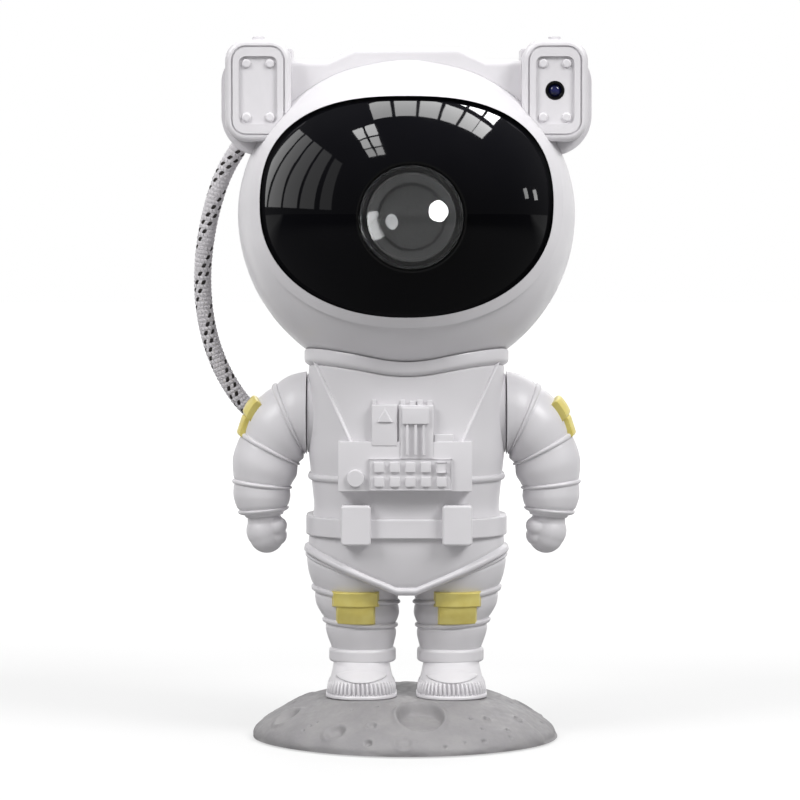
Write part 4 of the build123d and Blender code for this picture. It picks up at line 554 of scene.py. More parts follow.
# rings about the arm's pivot: distance from the middle of the figure, and radius
pivot_rings = ((29.0, 5.6), (29.9, 5.6), (29.9, 4.0), (arm_face_x, 4.0))
boss_rings = ((27.0, 12.9), (31.8, 12.9), (32.2, 12.6), (32.2, 6.0), (31.0, 6.0))
hand_lumps = [                # x, y, z and radius of the mitten's swellings, left hand
    (-46.2, 0.0, 67.6, 6.1), (-46.4, 0.0, 71.0, 5.5), (-45.6, 0.0, 65.9, 5.7),
    (-42.0, -3.4, 69.0, 2.9), (-41.8, 0.0, 69.2, 2.9), (-42.2, 3.2, 69.0, 2.8),
    (-41.9, -2.2, 65.9, 2.9), (-42.0, 1.8, 65.9, 3.0),
]


def hand(name, side, body):
    """The mitten: swellings melted into one skin, as the mould has them."""
    mesh = bmesh.new()
    for x, y, z, radius in hand_lumps:
        made = bmesh.ops.create_icosphere(mesh, subdivisions=4, radius=radius * mm)
        bmesh.ops.translate(mesh, verts=made["verts"], vec=Vector((-side * x, y, z)) * mm)
    for face in mesh.faces:
        face.smooth = True
    piece = new_piece(name, mesh, [suit_plastic], body, [body])
    skin = piece.modifiers.new("one_skin", "REMESH")
    skin.mode = "VOXEL"
    skin.voxel_size = 0.35 * mm
    skin.use_smooth_shade = True
    soften = piece.modifiers.new("soften", "SMOOTH")
    soften.factor = 0.6
    soften.iterations = 7


def round_rows(side, rings):
    """The rows of a round form about the arm's pivot."""
    turns = np.linspace(0, math.tau, limb_columns, endpoint=False)
    return [[(side * x, radius * math.sin(t), arm_pivot_z - radius * math.cos(t)) for t in turns]
            for x, radius in rings]


for side, word in ((-1, "left"), (1, "right")):
    leg = Limb(leg_sections, leg_cords, side)
    lofted(f"leg_skin_{word}", [leg.rows()], suit_plastic, "suit", "torso", f"leg_{word}")
    # the knee patch: a wide bar over a narrower one, both padded
    lofted(f"knee_patch_{word}", [leg.front_pad(-22.8, -10.1, 38.0, 44.4, 1.3, 0.5),
                                  leg.front_pad(-24.1, -8.8, 43.9, 49.0, 2.0, 0.5)],
           gold_paint, "gold", "torso", "knee_patches")
    arm = Limb(arm_sections, arm_cords, side)
    rows = list(arm.rows())
    rows[0] = [(side * arm_face_x, y, z) for _, y, z in rows[0]]
    lofted(f"arm_skin_{word}", [round_rows(side, pivot_rings) + rows], suit_plastic, "suit",
           f"arm_{word}", f"arm_{word}")
    hand(f"hand_{word}", side, f"arm_{word}")
    # the shoulder patch lies on the outside of the upper arm
    outer = math.pi
    lofted(f"shoulder_pad_{word}", [arm.pad(13.9, 18.4, outer - 0.52, outer + 0.52, 1.5, 0.7),
                                    arm.pad(9.9, 14.2, outer - 0.62, outer + 0.62, 2.0, 0.7)],
           gold_paint, "gold", f"arm_{word}", f"shoulder_patch_{word}")
    # a disc on the torso's side closes the gap behind the arm's flat joint face
    lofted(f"shoulder_boss_{word}", [round_rows(side, boss_rings)], suit_plastic, "suit", "torso")


# ---------------------------------------------------------------------------
# Boots. Each is one moulding: a sole, a band of upright ribs, an upper with a
# pointed-oval toe cap, and an ankle that goes up into the trouser's cuff.
# ---------------------------------------------------------------------------
def rounded_outline(half_w, toe, heel, corner_r, count):
    """Points and outward directions round a rounded rectangle, evenly spaced."""
    half_d = (toe + heel) / 2
    corner_r = min(corner_r, half_w, half_d)
    arc = corner_r * math.pi / 2
    runs = [2 * (half_d - corner_r), arc, 2 * (half_w - corner_r), arc] * 2
    found = []
    for step in range(count):
        left, place = sum(runs) * step / count, 0
        while left > runs[place] and place < 7:
            left -= runs[place]
            place += 1
        # the straight side or the corner that the point is on, turned to its quarter of the way round
        near, far = (half_d, half_w) if place // 2 % 2 else (half_w, half_d)
        base, bend = math.pi / 2 * (place // 2), 0
        spot = (near, corner_r - far + left)
        if place % 2:
            bend = left / corner_r
            spot = (near - corner_r + corner_r * math.cos(bend),
                    far - corner_r + corner_r * math.sin(bend))
        found.append((spot[0] * math.cos(base) - spot[1] * math.sin(base),
                      spot[0] * math.sin(base) + spot[1] * math.cos(base),
                      math.cos(base + bend), math.sin(base + bend)))
    points = np.array(found)
    points[:, 1] += (heel - toe) / 2
    return points


boot_x = 14.65                # from the middle of the figure to the middle of a boot
boot_ribs = 58
boot_columns = boot_ribs * 10
# height over the ground, half width, toe, heel, corner and depth of the grooves there
boot_rows = np.array([
    (0.05, 11.2, 20.1, 11.1, 11.0, 0), (0.3, 11.5, 20.4, 11.4, 11.2, 0),
    (0.9, 11.5, 20.4, 11.4, 11.2, 0), (1.2, 11.3, 20.2, 11.3, 11.1, 0),
    (1.3, 10.9, 19.8, 10.9, 10.8, 0), (1.5, 11.0, 19.9, 11.0, 10.8, 0.4),
    (1.8, 11.2, 20.1, 11.1, 10.9, 0.9), (2.8, 11.2, 20.1, 11.1, 10.9, 1.0),
    (4.0, 10.9, 19.7, 11.1, 10.7, 0.9), (4.8, 10.6, 19.3, 11.0, 10.5, 0.6),
    (5.2, 10.3, 18.9, 10.9, 10.2, 0.2), (5.5, 10.1, 18.5, 10.8, 10.0, 0),
    (6.4, 9.9, 17.2, 10.7, 9.8, 0), (7.6, 9.6, 15.5, 10.5, 9.5, 0),
    (8.8, 9.4, 13.8, 10.4, 9.3, 0), (10.0, 9.1, 12.0, 10.3, 9.0, 0),
    (11.4, 9.0, 11.0, 10.2, 8.9, 0),
])
cap_half_w, cap_half_h, cap_z = 8.3, 1.9, 7.2
# how far towards the cap's edge, and how far the cap stands out there
toe_cap = [(0.001, 1.0), (0.3, 0.97), (0.55, 0.88), (0.75, 0.76), (0.88, 0.62), (0.96, 0.45),
           (1.0, 0.0), (1.0, -0.8)]


def boot_skin(side):
    """Rows up the boot, with a wave of grooves in the band of ribs."""
    wave = np.cos(np.arange(boot_columns) / boot_columns * math.tau * boot_ribs)
    rows = []
    for step in np.linspace(0, len(boot_rows) - 1, 61):
        k = min(int(step), len(boot_rows) - 2)
        low, high = boot_rows[k], boot_rows[k + 1]
        z, half_w, toe, heel, corner_r, groove = low + (high - low) * (step - k)
        cut = 1.25 * groove * np.clip(0.55 - 1.2 * wave, 0, 1)
        line = rounded_outline(half_w, toe, heel, corner_r, boot_columns)
        rows.append([(side * boot_x + x - nx * c, y - ny * c, plateau + z)
                     for (x, y, nx, ny), c in zip(line, cut)])
    return rows


def cap_skin(side):
    """Rows of the toe cap: a pointed oval that lies on the slope of the upper."""
    rows = []
    for share, rise in toe_cap:
        row = []
        for t in np.linspace(0, math.tau, 72, endpoint=False):
            x = cap_half_w * share * math.cos(t)
            z = cap_z + cap_half_h * share * math.sin(t) * (1 - 0.3 * math.cos(t) ** 2)
            half_w, toe, corner_r = (np.interp(z, boot_rows[:, 0], boot_rows[:, k]) for k in (1, 2, 4))
            past = max(abs(x) - (half_w - corner_r), 0)
            y = -(toe - corner_r + math.sqrt(max(corner_r ** 2 - past ** 2, 0)))
            row.append((side * boot_x + x * (1 + 0.04 * rise), y - rise, plateau + z + 0.4 * rise))
        rows.append(row)
    return rows


for side, word in ((-1, "left"), (1, "right")):
    lofted(f"boot_upper_{word}", [boot_skin(side), cap_skin(side)], suit_plastic, "suit",
           "torso", f"boot_{word}")


# ---------------------------------------------------------------------------
# Torso. A hollow moulding with a dish for the helmet, a cord round its waist
# and along its slanting hems, and two raised straps from the collar down.
# ---------------------------------------------------------------------------
chest_w, chest_d, chest_corner = 31.7, 26.4, 22.0     # half width, half depth and corner radius
# height, half width and half depth
torso_sizes = np.array([
    (44.0, 29.3, 17.8), (56.0, 32.3, 21.8), (64.0, 31.9, 23.4), (70.0, 31.1, 23.9), (76.0, 30.1, 23.9),
    (82.2, 30.6, 24.8), (94.0, chest_w, chest_d), (101.0, chest_w, chest_d), (140.0, chest_w, chest_d),
])
head_middle = (1.5, 170.7)       # y and z of the ball that the helmet rolls as
helmet_r = 54.8
dish_r = 58.8
dish_floor_z = 112.0
hem_rise = 0.443                 # slope of the hems
hem_middle_z = 46.85             # where the two hems would meet
hem_low_z = 48.2                 # the blunt point between them
waist_z = 85.7
waist_cord, hem_cord = 1.1, 1.25
torso_columns, collar_columns = 420, 300
# where rows lie across the cord round the waist, in shares of its radius
waist_steps = np.array([-1.25, -1.0, -0.97, -0.9, -0.7, -0.35, 0, 0.35, 0.7, 0.9, 0.97, 1.0, 1.25])
# where rows lie over the hem, in millimetres above it
hem_steps = np.array([0.0, 0.15, 0.3, 0.6, 1.0, 1.4, 1.8, 2.1, 2.3, 2.6, 3.0])


def torso_point(around, z, out=0.0):
    """A point on the torso's skin at a column of its outline."""
    half_w, half_d = (through(torso_sizes[:, 0], torso_sizes[:, k], z) for k in (1, 2))
    x, y, nx, ny = around
    wide, deep = half_w - chest_w, half_d - chest_d
    return np.stack([x + np.sign(nx) * wide * abs(nx) ** 0.5 + nx * out,
                     y + np.sign(ny) * deep * abs(ny) ** 0.5 + ny * out, z + 0 * x], axis=-1)


def dish_z(x, y, ball_r):
    """Height of a ball about the helmet's middle, below that middle."""
    return head_middle[1] - math.sqrt(ball_r ** 2 - x * x - (y - head_middle[0]) ** 2)


def torso_rows():
    """Columns from the hem up to the dish, turned into rows."""
    columns = []
    for around in rounded_outline(chest_w, chest_d, chest_d, chest_corner, torso_columns):
        low_z = 56.0
        for _ in range(3):
            x = torso_point(around, np.array(low_z))[0]
            low_z = max(hem_low_z, hem_middle_z + hem_rise * abs(x))
        top_z = dish_z(around[0], around[1], dish_r)
        middle_z = np.linspace(low_z + 3.3, waist_z - 1.5, 60)
        chest_z = np.linspace(waist_z + 1.7, top_z - 0.5, 50)
        z = np.concatenate([low_z + hem_steps, middle_z, waist_z + waist_cord * waist_steps, chest_z,
                            [top_z - 0.15, top_z]])
        # the cord round the waist, the cord along the hem, and the groove over that
        out = waist_cord * np.sqrt(np.clip(1 - ((z - waist_z) / waist_cord) ** 2, 0, 1))
        out = out + hem_cord * np.sqrt(np.clip(1 - ((z - low_z - 1.15) / 1.2) ** 2, 0, 1))
        out = out - 0.3 * np.exp(-((z - low_z - 2.7) / 0.45) ** 2)
        # the mould's seam between the front and the rear half
        out = out - 0.25 * math.exp(-(around[1] / 0.22) ** 2)
        out[-2:] -= (0.1, 0.5)
        points = list(torso_point(around, z, out))
        for share in (0.94, 0.8, 0.6, 0.42):
            x, y = around[0] * share, around[1] * share
            points.append((x, y, dish_z(x, y, dish_r)))
        points.append((x, y, dish_floor_z))
        foot = [(points[0][0] * share, points[0][1] * share, points[0][2] + lift)
                for share, lift in ((0.5, 0.4), (0.94, 0.2))]
        columns.append(foot + points)
    return [list(row) for row in zip(*columns)]


lofted("torso_skin", [torso_rows()], suit_plastic, "suit", "torso", "torso_front_shell",
       "torso_rear_shell", sharp=50)

# the collar: a band that follows the helmet's ball round the torso's upper edge
collar_line = ((-3.7, -0.6), (-3.7, 0.9), (-3.5, 1.25), (-3.0, 1.4),       # lift and stand-out
               (-1.0, 1.4), (-0.5, 1.2), (-0.35, 0.7), (-0.35, -0.6))
collar = []
for lift, out in collar_line:
    row = []
    for x, y, nx, ny in rounded_outline(chest_w, chest_d, chest_d, chest_corner, collar_columns):
        px, py = x + nx * out, y + ny * out
        row.append((px, py, dish_z(px, py, helmet_r - lift)))
    collar.append(row)
lofted("collar_band", [collar], suit_plastic, "suit", "torso", sharp=40, hoop=True)

# the harness: crowned straps that lie on the chest, from the collar to the chest unit
strap_top, strap_foot = (29.1, 123.0), (17.3, 97.0)       # x and z
strap_half_w, strap_rise = 1.0, 0.95
for side, word in ((-1, "left"), (1, "right")):
    rows = []
    for share in np.linspace(0, 1, 40):
        x, z = (top + (foot - top) * share for top, foot in zip(strap_top, strap_foot))
        lean = max(x - (chest_w - chest_corner), 0) / chest_corner
        nx, ny = lean, -math.sqrt(1 - lean ** 2)
        y = chest_corner - chest_d + chest_corner * ny
        row = []
        for t in np.linspace(0, math.tau, 16, endpoint=False):
            across, out = strap_half_w * math.cos(t), strap_rise * math.sin(t)
            row.append((side * (x - ny * across + nx * out), y + nx * across + ny * out,
                        z + across * 0.4))
        rows.append(row)
    lofted(f"harness_{word}", [rows], suit_plastic, "suit", "torso", sharp=60)


# ---------------------------------------------------------------------------
# Chest unit. One moulded control panel with a small tower, a cap over three
# slider bars, ten square keys on a raised plate, and a round dial beside them.
# ---------------------------------------------------------------------------
def blocks(name, sizes, bevel, node):
    """Small moulded blocks with rounded edges: x, x, z, z, front and back of each."""
    mesh = bmesh.new()
    for x_low, x_high, z_low, z_high, front, back in sizes:
        made = bmesh.ops.create_cube(mesh, size=1)["verts"]
        for vert in made:
            vert.co = Vector(((x_low + x_high) / 2 + vert.co.x * (x_high - x_low),
                              -(front + back) / 2 - vert.co.y * (front - back),
                              (z_low + z_high) / 2 + vert.co.z * (z_high - z_low))) * mm
    bmesh.ops.bevel(mesh, geom=mesh.edges[:], offset=bevel * mm, segments=3, profile=0.6, affect="EDGES",
                    clamp_overlap=True)
    for face in mesh.faces:
        face.smooth = True
    bmesh.ops.recalc_face_normals(mesh, faces=mesh.faces)
    return new_piece(name, mesh, [suit_plastic], "torso", [node], sharp=30)


panel_front, panel_back = 28.5, 14.0
peg_front = panel_front - 1.2
blocks("panel_body", [
    (-21.9, 20.9, 82.4, 98.3, panel_front, panel_back),            # the wide plate
    (-11.1, -3.0, 97.0, 110.0, panel_front + 0.25, panel_back),    # tower, left half
    (-2.4, 8.6, 97.0, 110.0, panel_front, panel_back),             # tower, right half
    (-3.4, -2.0, 97.0, 109.4, panel_front - 0.9, panel_back),      # groove between them
    (-2.0, 8.4, 92.9, 109.8, panel_front + 0.45, panel_back),      # block that carries the sliders
    (-1.4, 7.1, 104.0, 109.2, panel_front + 1.7, panel_back),      # cap over the sliders
    (8.8, 14.9, 98.0, 100.6, panel_front - 0.6, panel_back),       # low step on the right
    (-10.9, -9.7, 109.0, 111.6, peg_front, panel_back),            # five pegs on the tower
    (-2.0, -0.5, 109.0, 111.6, peg_front, panel_back),
    (1.0, 2.9, 109.0, 111.2, peg_front, panel_back),
    (3.4, 5.2, 109.0, 111.6, peg_front, panel_back),
    (6.6, 8.2, 109.0, 111.4, peg_front, panel_back),
    (-11.7, 14.2, 82.9, 92.8, panel_front + 0.8, panel_back),      # plate under the keys
], 0.3, "chest_panel")
slider_half, key_half = 0.42, 1.6
blocks("panel_sliders", [(x - slider_half, x + slider_half, 94.2, 103.9, panel_front + 1.45, panel_back)
                         for x in (0.2, 2.85, 5.5)], 0.18, "chest_sliders")
blocks("panel_keys", [(x - key_half, x + key_half, z - key_half, z + key_half,
                       panel_front + 1.75, panel_back)
                      for x in (-8.7, -3.75, 1.2, 6.15, 11.1) for z in (85.6, 90.2)], 0.35, "chest_keys")
# the raised triangle: its back corners, its front edge and its bevelled face
triangle_x, triangle_z, triangle_half, triangle_tall = -6.9, 104.7, 2.5, 4.5
triangle = [[(triangle_x + size * x, -ahead, triangle_z + size * z)
             for x, z in ((-triangle_half, 0), (triangle_half, 0), (0, triangle_tall))]
            for size, ahead in ((1.0, panel_back), (1.0, panel_front + 0.5), (0.8, panel_front + 0.8))]
lofted("panel_triangle", [triangle], suit_plastic, "suit", "torso", "chest_panel", sharp=20)


# ---------------------------------------------------------------------------
# Electrics and fastenings: zinc-plated screws, the neck's magnet and steel
# cap, the control board with its power inlet, and three keys in the back.
# ---------------------------------------------------------------------------
zinc = new_finish("zinc", rgb(176, 177, 180), 0.34, metal=1)
polish(zinc, clouds(zinc, 0.6 * mm), 0.26, 0.42)
tint(zinc, clouds(zinc, 2 * mm), rgb(164, 166, 172), rgb(190, 188, 184))
dress(zinc, "steel", "helmet_screws", "board_screws", "head_steel_plate")

nickel = new_finish("nickel", rgb(205, 201, 192), 0.22, metal=1)
polish(nickel, clouds(nickel, 1.5 * mm), 0.16, 0.3)
tint(nickel, clouds(nickel, 3 * mm), rgb(196, 192, 184), rgb(214, 210, 202))
dress(nickel, "magnet_nickel", "neck_magnet", "usb_socket")

solder_resist = new_finish("solder_resist", rgb(24, 88, 52), 0.3)
tint(solder_resist, clouds(solder_resist, 1.2 * mm, detail=1), rgb(18, 74, 42), rgb(34, 104, 62))
emboss(solder_resist, clouds(solder_resist, 1.0 * mm), 0.03 * mm)
dress(solder_resist, "board_green", "control_board", "led_board")

key_plastic = moulded("key_plastic", rgb(150, 150, 154), rgb(158, 158, 162), 0.4, 0.01 * mm)
dress(key_plastic, "button_grey", "button_power", "button_nebula", "button_star")


# ---------------------------------------------------------------------------
# Projector. Inside the helmet a lamp and a condenser shine through a geared
# effect wheel; the black visor carries the clear dome lens in its bezel.
# ---------------------------------------------------------------------------
optics_black = new_finish("optics_black", rgb(14, 14, 15), 0.62)
tint(optics_black, clouds(optics_black, 6 * mm), rgb(11, 11, 12), rgb(18, 18, 19))
emboss(optics_black, clouds(optics_black, 0.4 * mm), 0.02 * mm)
dress(optics_black, "dark_plastic", "optics_frame", "effect_disc")

acetal = new_finish("acetal", rgb(24, 24, 26), 0.45)
tint(acetal, clouds(acetal, 5 * mm), rgb(20, 20, 22), rgb(28, 28, 30))
polish(acetal, clouds(acetal, 1 * mm), 0.32, 0.46)
dress(acetal, "gear_plastic", "effect_wheel", "motor_pinion")

motor_can = new_finish("motor_can", rgb(186, 187, 189), 0.3, metal=1)
polish(motor_can, clouds(motor_can, 0.5 * mm, stretch=(1, 0.05, 1)), 0.22, 0.4)
dress(motor_can, "motor_steel", "effect_motor")

extruded = new_finish("extruded", rgb(206, 207, 210), 0.36, metal=1)
polish(extruded, clouds(extruded, 0.4 * mm, stretch=(1, 0.05, 1)), 0.28, 0.45)
dress(extruded, "aluminium_sink", "heat_sink")

turned_brass = new_finish("turned_brass", rgb(206, 176, 110), 0.28, metal=1)
polish(turned_brass, clouds(turned_brass, 0.3 * mm), 0.2, 0.36)
dress(turned_brass, "brass_module", "star_laser_module")

visor_gloss = new_finish("visor_gloss", rgb(5, 5, 7), 0.04)
visor_gloss.node_tree.nodes["Principled BSDF"].inputs["Specular IOR Level"].default_value = 0.09
tint(visor_gloss, clouds(visor_gloss, 30 * mm, detail=2), rgb(4, 4, 6), rgb(6, 6, 8))
polish(visor_gloss, clouds(visor_gloss, 12 * mm, detail=4), 0.03, 0.05)
dress(visor_gloss, "visor_black", "visor")

bezel_gloss = new_finish("bezel_gloss", rgb(6, 6, 7), 0.12)
bezel_gloss.node_tree.nodes["Principled BSDF"].inputs["Specular IOR Level"].default_value = 0.2
tint(bezel_gloss, clouds(bezel_gloss, 5 * mm), rgb(4, 4, 5), rgb(9, 9, 10))
polish(bezel_gloss, clouds(bezel_gloss, 1 * mm), 0.1, 0.18)
dress(bezel_gloss, "dark_plastic", "lens_bezel")


def turned(name, outline, centre, finish, node, segments=96):
    """A round piece about an axis that points at the viewer, from (radius, distance ahead) pairs."""
    mesh = bmesh.new()
    turns = np.linspace(0, math.tau, segments, endpoint=False)
    rows = []
    for radius, ahead in outline:
        if radius == 0:
            rows.append([mesh.verts.new((centre[0], centre[1] - ahead, centre[2]))])
        else:
            rows.append([mesh.verts.new((centre[0] + radius * math.cos(t), centre[1] - ahead,
                                         centre[2] + radius * math.sin(t))) for t in turns])
    for upper, lower in zip(rows, rows[1:]):
        for j in range(segments):
            # a row of one point is a tip: its two like corners become one
            corners = [row[k % segments % len(row)] for row, k in
                       ((upper, j), (upper, j + 1), (lower, j + 1), (lower, j))]
            mesh.faces.new(list(dict.fromkeys(corners))).smooth = True
    bmesh.ops.remove_doubles(mesh, verts=mesh.verts, dist=0.001 * mm)
    bmesh.ops.recalc_face_normals(mesh, faces=mesh.faces)
    return new_piece(name, mesh, [finish], "head", [node], sharp=40)


def crown(radius, ball_r, steps):
    """Radius and height of points on a ball's cap, from its rim to its middle."""
    return [(radius * k / steps, math.sqrt(ball_r ** 2 - (radius * k / steps) ** 2)
             - math.sqrt(ball_r ** 2 - radius ** 2)) for k in range(steps, -1, -1)]


clear_lens = new_finish("clear_lens", (0.96, 0.97, 0.98), 0.02)
lens_shader = clear_lens.node_tree.nodes["Principled BSDF"]
lens_shader.inputs["Transmission Weight"].default_value = 1
lens_shader.inputs["IOR"].default_value = 1.49
polish(clear_lens, clouds(clear_lens, 8 * mm, detail=4), 0.01, 0.03)
dress(clear_lens, "lens_clear", "condenser_lens")

# the dome lens: crowned in front, with a flat rim in the bezel and a lower crown at the back
lens_low, lens_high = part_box("dome_lens")
lens_r = (lens_high[0] - lens_low[0]) / 2
lens_rim = 1.4 * mm
lens_ball = 27.5 * mm
lens_back_r, lens_back_ball = 14.6 * mm, 38 * mm
lens_centre = ((lens_low[0] + lens_high[0]) / 2, lens_high[1], (lens_low[2] + lens_high[2]) / 2)
front = [(radius, lens_rim + rise) for radius, rise in crown(lens_r, lens_ball, 28)]
back = [(radius, -rise) for radius, rise in crown(lens_back_r, lens_back_ball, 20)]
clear_dome = turned("clear_dome", [*reversed(back), (lens_r, 0.0), *front], lens_centre,
                    clear_lens, "dome_lens")

# the star lens: a black ring pressed into the right ear, with a small blue-coated glass in it
star_low, star_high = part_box("star_lens")
star_r = (star_high[0] - star_low[0]) / 2
star_l = star_high[1] - star_low[1]
star_centre = ((star_low[0] + star_high[0]) / 2, star_high[1], (star_low[2] + star_high[2]) / 2)
glass_r = 2.0 * mm
turned("star_ring", [(glass_r, 0.0), (star_r, 0.0), (star_r, star_l - 0.35 * mm),
                     (star_r - 0.35 * mm, star_l), (glass_r + 0.35 * mm, star_l),
                     (glass_r, star_l - 0.4 * mm), (glass_r, 0.0)],
       star_centre, bezel_gloss, "star_lens", 64)
blue_coating = new_finish("blue_coating", rgb(22, 26, 62), 0.06)
tint(blue_coating, clouds(blue_coating, 2 * mm), rgb(14, 18, 48), rgb(30, 34, 84))
polish(blue_coating, clouds(blue_coating, 1 * mm), 0.04, 0.09)
glass_line = [(radius, star_l - 1.1 * mm + rise) for radius, rise in crown(glass_r, 2.8 * mm, 12)]
turned("star_glass", [(0, 0.2 * mm), (glass_r, 0.2 * mm), *glass_line],
       star_centre, blue_coating, "star_lens", 64)

# what the gloss black mirrors: a room with a skylight, roof windows and tall panes beside it.
# the soft lamps leave it alone, so that no lamp stands as a white square in it
mirror_black = bpy.data.collections.new("mirror_black")
mirror_black.objects.link(cad["visor"])
lens_clear_only = bpy.data.collections.new("lens_clear_only")
lens_clear_only.objects.link(clear_dome)
no_lamp = bpy.data.collections.new("no_lamp")
for piece in (cad["visor"], cad["lens_bezel"], clear_dome):
    no_lamp.objects.link(piece)
for member in no_lamp.collection_objects:
    member.light_linking.link_state = "EXCLUDE"
for lamp in (left_lamp, right_lamp, top_lamp, back_lamp):
    lamp.light_linking.receiver_collection = no_lamp
lens_lamp.light_linking.receiver_collection = lens_clear_only

pane_gain = 1.6            # the visor's gloss is faint, so its panes are lit more strongly


def window_pane(name, place, facing, width, tall, radiance):
    """A lit pane that only the visor mirrors."""
    watts = pane_gain * radiance * math.pi * width * tall
    pane = soft_box(name, place, Vector(place) + Vector(facing), width, tall, watts)
    pane.light_linking.receiver_collection = mirror_black


head_z = 0.17
up = 2.03                 # from the helmet to the room's ceiling
ceiling = head_z + up
for number, x in enumerate((-0.21, -0.01, 0.19, 0.39, 0.59, 0.77)):
    window_pane(f"skylight_{number}", (x * up, -0.025 * up, ceiling), (0, 0, -1), 0.17 * up, 0.31 * up,
                16 + 2.5 * number)
for column, x in enumerate((-0.36, -0.50)):
    for row, y in enumerate((-0.35, -0.58, -0.81)):
        window_pane(f"roof_window_{column}_{row}", (x * up, y * up, ceiling), (0, 0, -1), 0.11 * up,
                    0.2 * up, 30 - 5 * row)
for number, x in enumerate((0.40, 0.58, 0.76)):
    window_pane(f"bright_pane_{number}", (x * up, 0.45 * up, ceiling), (0, 0, -1), 0.15 * up, 0.45 * up, 55)
for number, (y, z) in enumerate(((-0.03, 0.58), (0.28, 0.52))):
    window_pane(f"side_pane_{number}", (2.0, y, z), (-1, 0, 0), 0.12, 0.2, 12)
for number, y in enumerate((1.0, 0.4, -0.2, -0.8, -1.5)):
    window_pane(f"tall_pane_{number}", (-2.2, y, 1.25), (1, 0, 0), 0.5, 1.9, 4.6 - 0.8 * number)


# ---------------------------------------------------------------------------
# Hose. A limp tube in a braided sleeve of pale yarn with black tracers runs
# from the left ear block down to the backpack; it only looks like an air line.
# ---------------------------------------------------------------------------
hose_width = 6.0 * mm
hose_route = [
    (-54.53, 23.25, 193.96),
    (-59.93, 23.25, 186.76),
    (-65.4, 25.5, 170.5),
    (-68.2, 28.3, 152.5),
    (-67.2, 30.8, 134.5),
    (-62.0, 32.8, 118.0),
    (-52.0, 34.4, 103.5),
    (-39.1, 35.0, 99.0),
    (-30.1, 35.0, 99.0),
]


def smooth_line(points):
    """Points along the NURBS line that has the route's points as its control points."""
    line = bpy.data.curves.new("hose_line", "CURVE")
    line.dimensions = "3D"
    line.resolution_u = 48
    spline = line.splines.new("NURBS")
    spline.points.add(len(points) - 1)
    for control, point in zip(spline.points, points):
        control.co = (*(Vector(point) * mm), 1)
    spline.order_u = 3
    spline.use_endpoint_u = True
    holder = bpy.data.objects.new("hose_line", line)
    bpy.context.scene.collection.objects.link(holder)
    bpy.context.view_layer.update()
    mesh = bpy.data.meshes.new_from_object(holder.evaluated_get(bpy.context.evaluated_depsgraph_get()))
    found = np.array([vertex.co for vertex in mesh.vertices])
    bpy.data.objects.remove(holder)
    return found


class Line:
    """A centreline that gives its place and two side directions at any distance along it."""

    def __init__(self, points):
        steps = np.linalg.norm(np.diff(points, axis=0), axis=1)
        self.points = points
        self.along = np.concatenate([[0], np.cumsum(steps)])
        self.length = self.along[-1]
        tangents = np.gradient(points, axis=0)
        tangents /= np.linalg.norm(tangents, axis=1, keepdims=True)
        side = np.cross(tangents[0], (0, 1, 0))
        sides = []
        for tangent in tangents:
            side = side - tangent * side.dot(tangent)
            side /= np.linalg.norm(side)
            sides.append(side)
        self.sides = np.array(sides)
        self.others = np.cross(tangents, self.sides)

    def at(self, distance, values):
        """Those values of the line's points, at a distance along it."""
        return np.stack([np.interp(distance, self.along, values[:, k]) for k in range(3)], axis=-1)

    def ring(self, distance, angle, radius):
        """Points on a tube of that radius round the line."""
        centre = self.at(distance, self.points)
        side, other = self.at(distance, self.sides), self.at(distance, self.others)
        turn = np.cos(angle)[..., None] * side + np.sin(angle)[..., None] * other
        return centre + turn * np.asarray(radius)[..., None]


strands_each_way = 14
braid_pitch = 40 * mm
strand_half = 0.45 * mm
weave_rise = 0.2 * mm
strand_radius = hose_width / 2 - weave_rise - 0.05 * mm
samples_per_crossing = 3


def strand(line, start, stop, way, number):
    """One flat yarn of the braid, as a crowned ribbon; way is +1 or -1."""
    crossing = braid_pitch / (2 * strands_each_way)
    count = max(int((stop - start) / crossing * samples_per_crossing), 2)
    distance = np.linspace(start, stop, count)
    around = way * math.tau * distance / braid_pitch + math.tau * number / strands_each_way
    lift = way * weave_rise * np.cos(math.pi * distance / crossing)
    across = np.array([-1.0, 0.0, 1.0])
    angle = around[:, None] + across * strand_half / strand_radius / 0.8
    radius = strand_radius + lift[:, None] - 0.06 * mm * np.abs(across)
    return line.ring(np.repeat(distance[:, None], 3, axis=1), angle, radius)


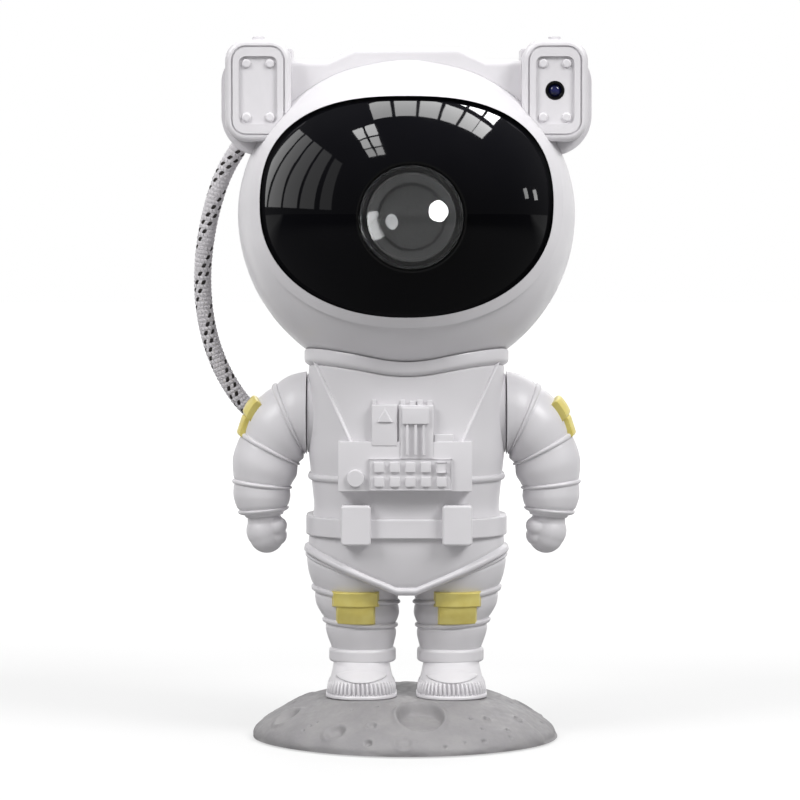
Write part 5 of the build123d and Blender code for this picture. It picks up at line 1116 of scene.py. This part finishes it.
def add_grid(mesh, uv, grid, slot_number):
    """Skins a grid of points, rows by columns, and gives it a material slot."""
    vertices = [[mesh.verts.new(point) for point in row] for row in grid]
    for i in range(len(vertices) - 1):
        for j in range(len(vertices[0]) - 1):
            face = mesh.faces.new((vertices[i][j], vertices[i][j + 1],
                                   vertices[i + 1][j + 1], vertices[i + 1][j]))
            face.material_index = slot_number
            face.smooth = True
            for corner, (u, v) in zip(face.loops, ((j, i), (j + 1, i), (j + 1, i + 1), (j, i + 1))):
                corner[uv].uv = (u / (len(vertices[0]) - 1), v / samples_per_crossing)


def yarn_finish(name, dark, light):
    """Spun yarn: fine fibres run along each strand."""
    finish = new_finish(name, light, 0.62)
    nodes, links = finish.node_tree.nodes, finish.node_tree.links
    place = nodes.new("ShaderNodeTexCoord")
    fibres = nodes.new("ShaderNodeTexWave")
    fibres.bands_direction = "X"
    fibres.inputs["Scale"].default_value = 2.2
    fibres.inputs["Distortion"].default_value = 1.5
    fibres.inputs["Detail"].default_value = 2
    links.new(place.outputs["UV"], fibres.inputs["Vector"])
    tint(finish, fibres.outputs["Fac"], dark, light)
    emboss(finish, fibres.outputs["Fac"], 0.04 * mm)
    return finish


pale_yarn = yarn_finish("pale_yarn", rgb(212, 208, 212), rgb(244, 242, 245))
tracer_yarn = yarn_finish("tracer_yarn", rgb(22, 20, 20), rgb(52, 44, 42))
hose_core = new_finish("hose_core", rgb(150, 146, 148), 0.6)
tint(hose_core, clouds(hose_core, 2 * mm), rgb(140, 136, 138), rgb(160, 156, 158))
hose_line = Line(smooth_line(hose_route))


core_rings, core_columns = 60, 17
core_radius = hose_width / 2 - 0.55 * mm
tracers = (0, 2, 7, 9)            # the yarns one way round that are black


def hose_half(name, start, stop):
    """The braid and its core between two distances along the hose."""
    mesh = bmesh.new()
    uv = mesh.loops.layers.uv.new("uv")
    rings, angles = np.linspace(start, stop, core_rings), np.linspace(0, math.tau, core_columns)
    grid = np.meshgrid(rings, angles, indexing="ij")
    add_grid(mesh, uv, hose_line.ring(*grid, np.full_like(grid[0], core_radius)), 2)
    for way in (1, -1):
        for number in range(strands_each_way):
            tracer = way == 1 and number in tracers
            add_grid(mesh, uv, strand(hose_line, start, stop, way, number), int(tracer))
    return new_piece(name, mesh, (pale_yarn, tracer_yarn, hose_core), None, ["braided_hose"])


half_way = hose_line.length / 2
hose_upper = hose_half("hose_upper", 0, half_way)
hose_lower = hose_half("hose_lower", half_way, hose_line.length)
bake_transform(hose_upper)
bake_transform(hose_lower)
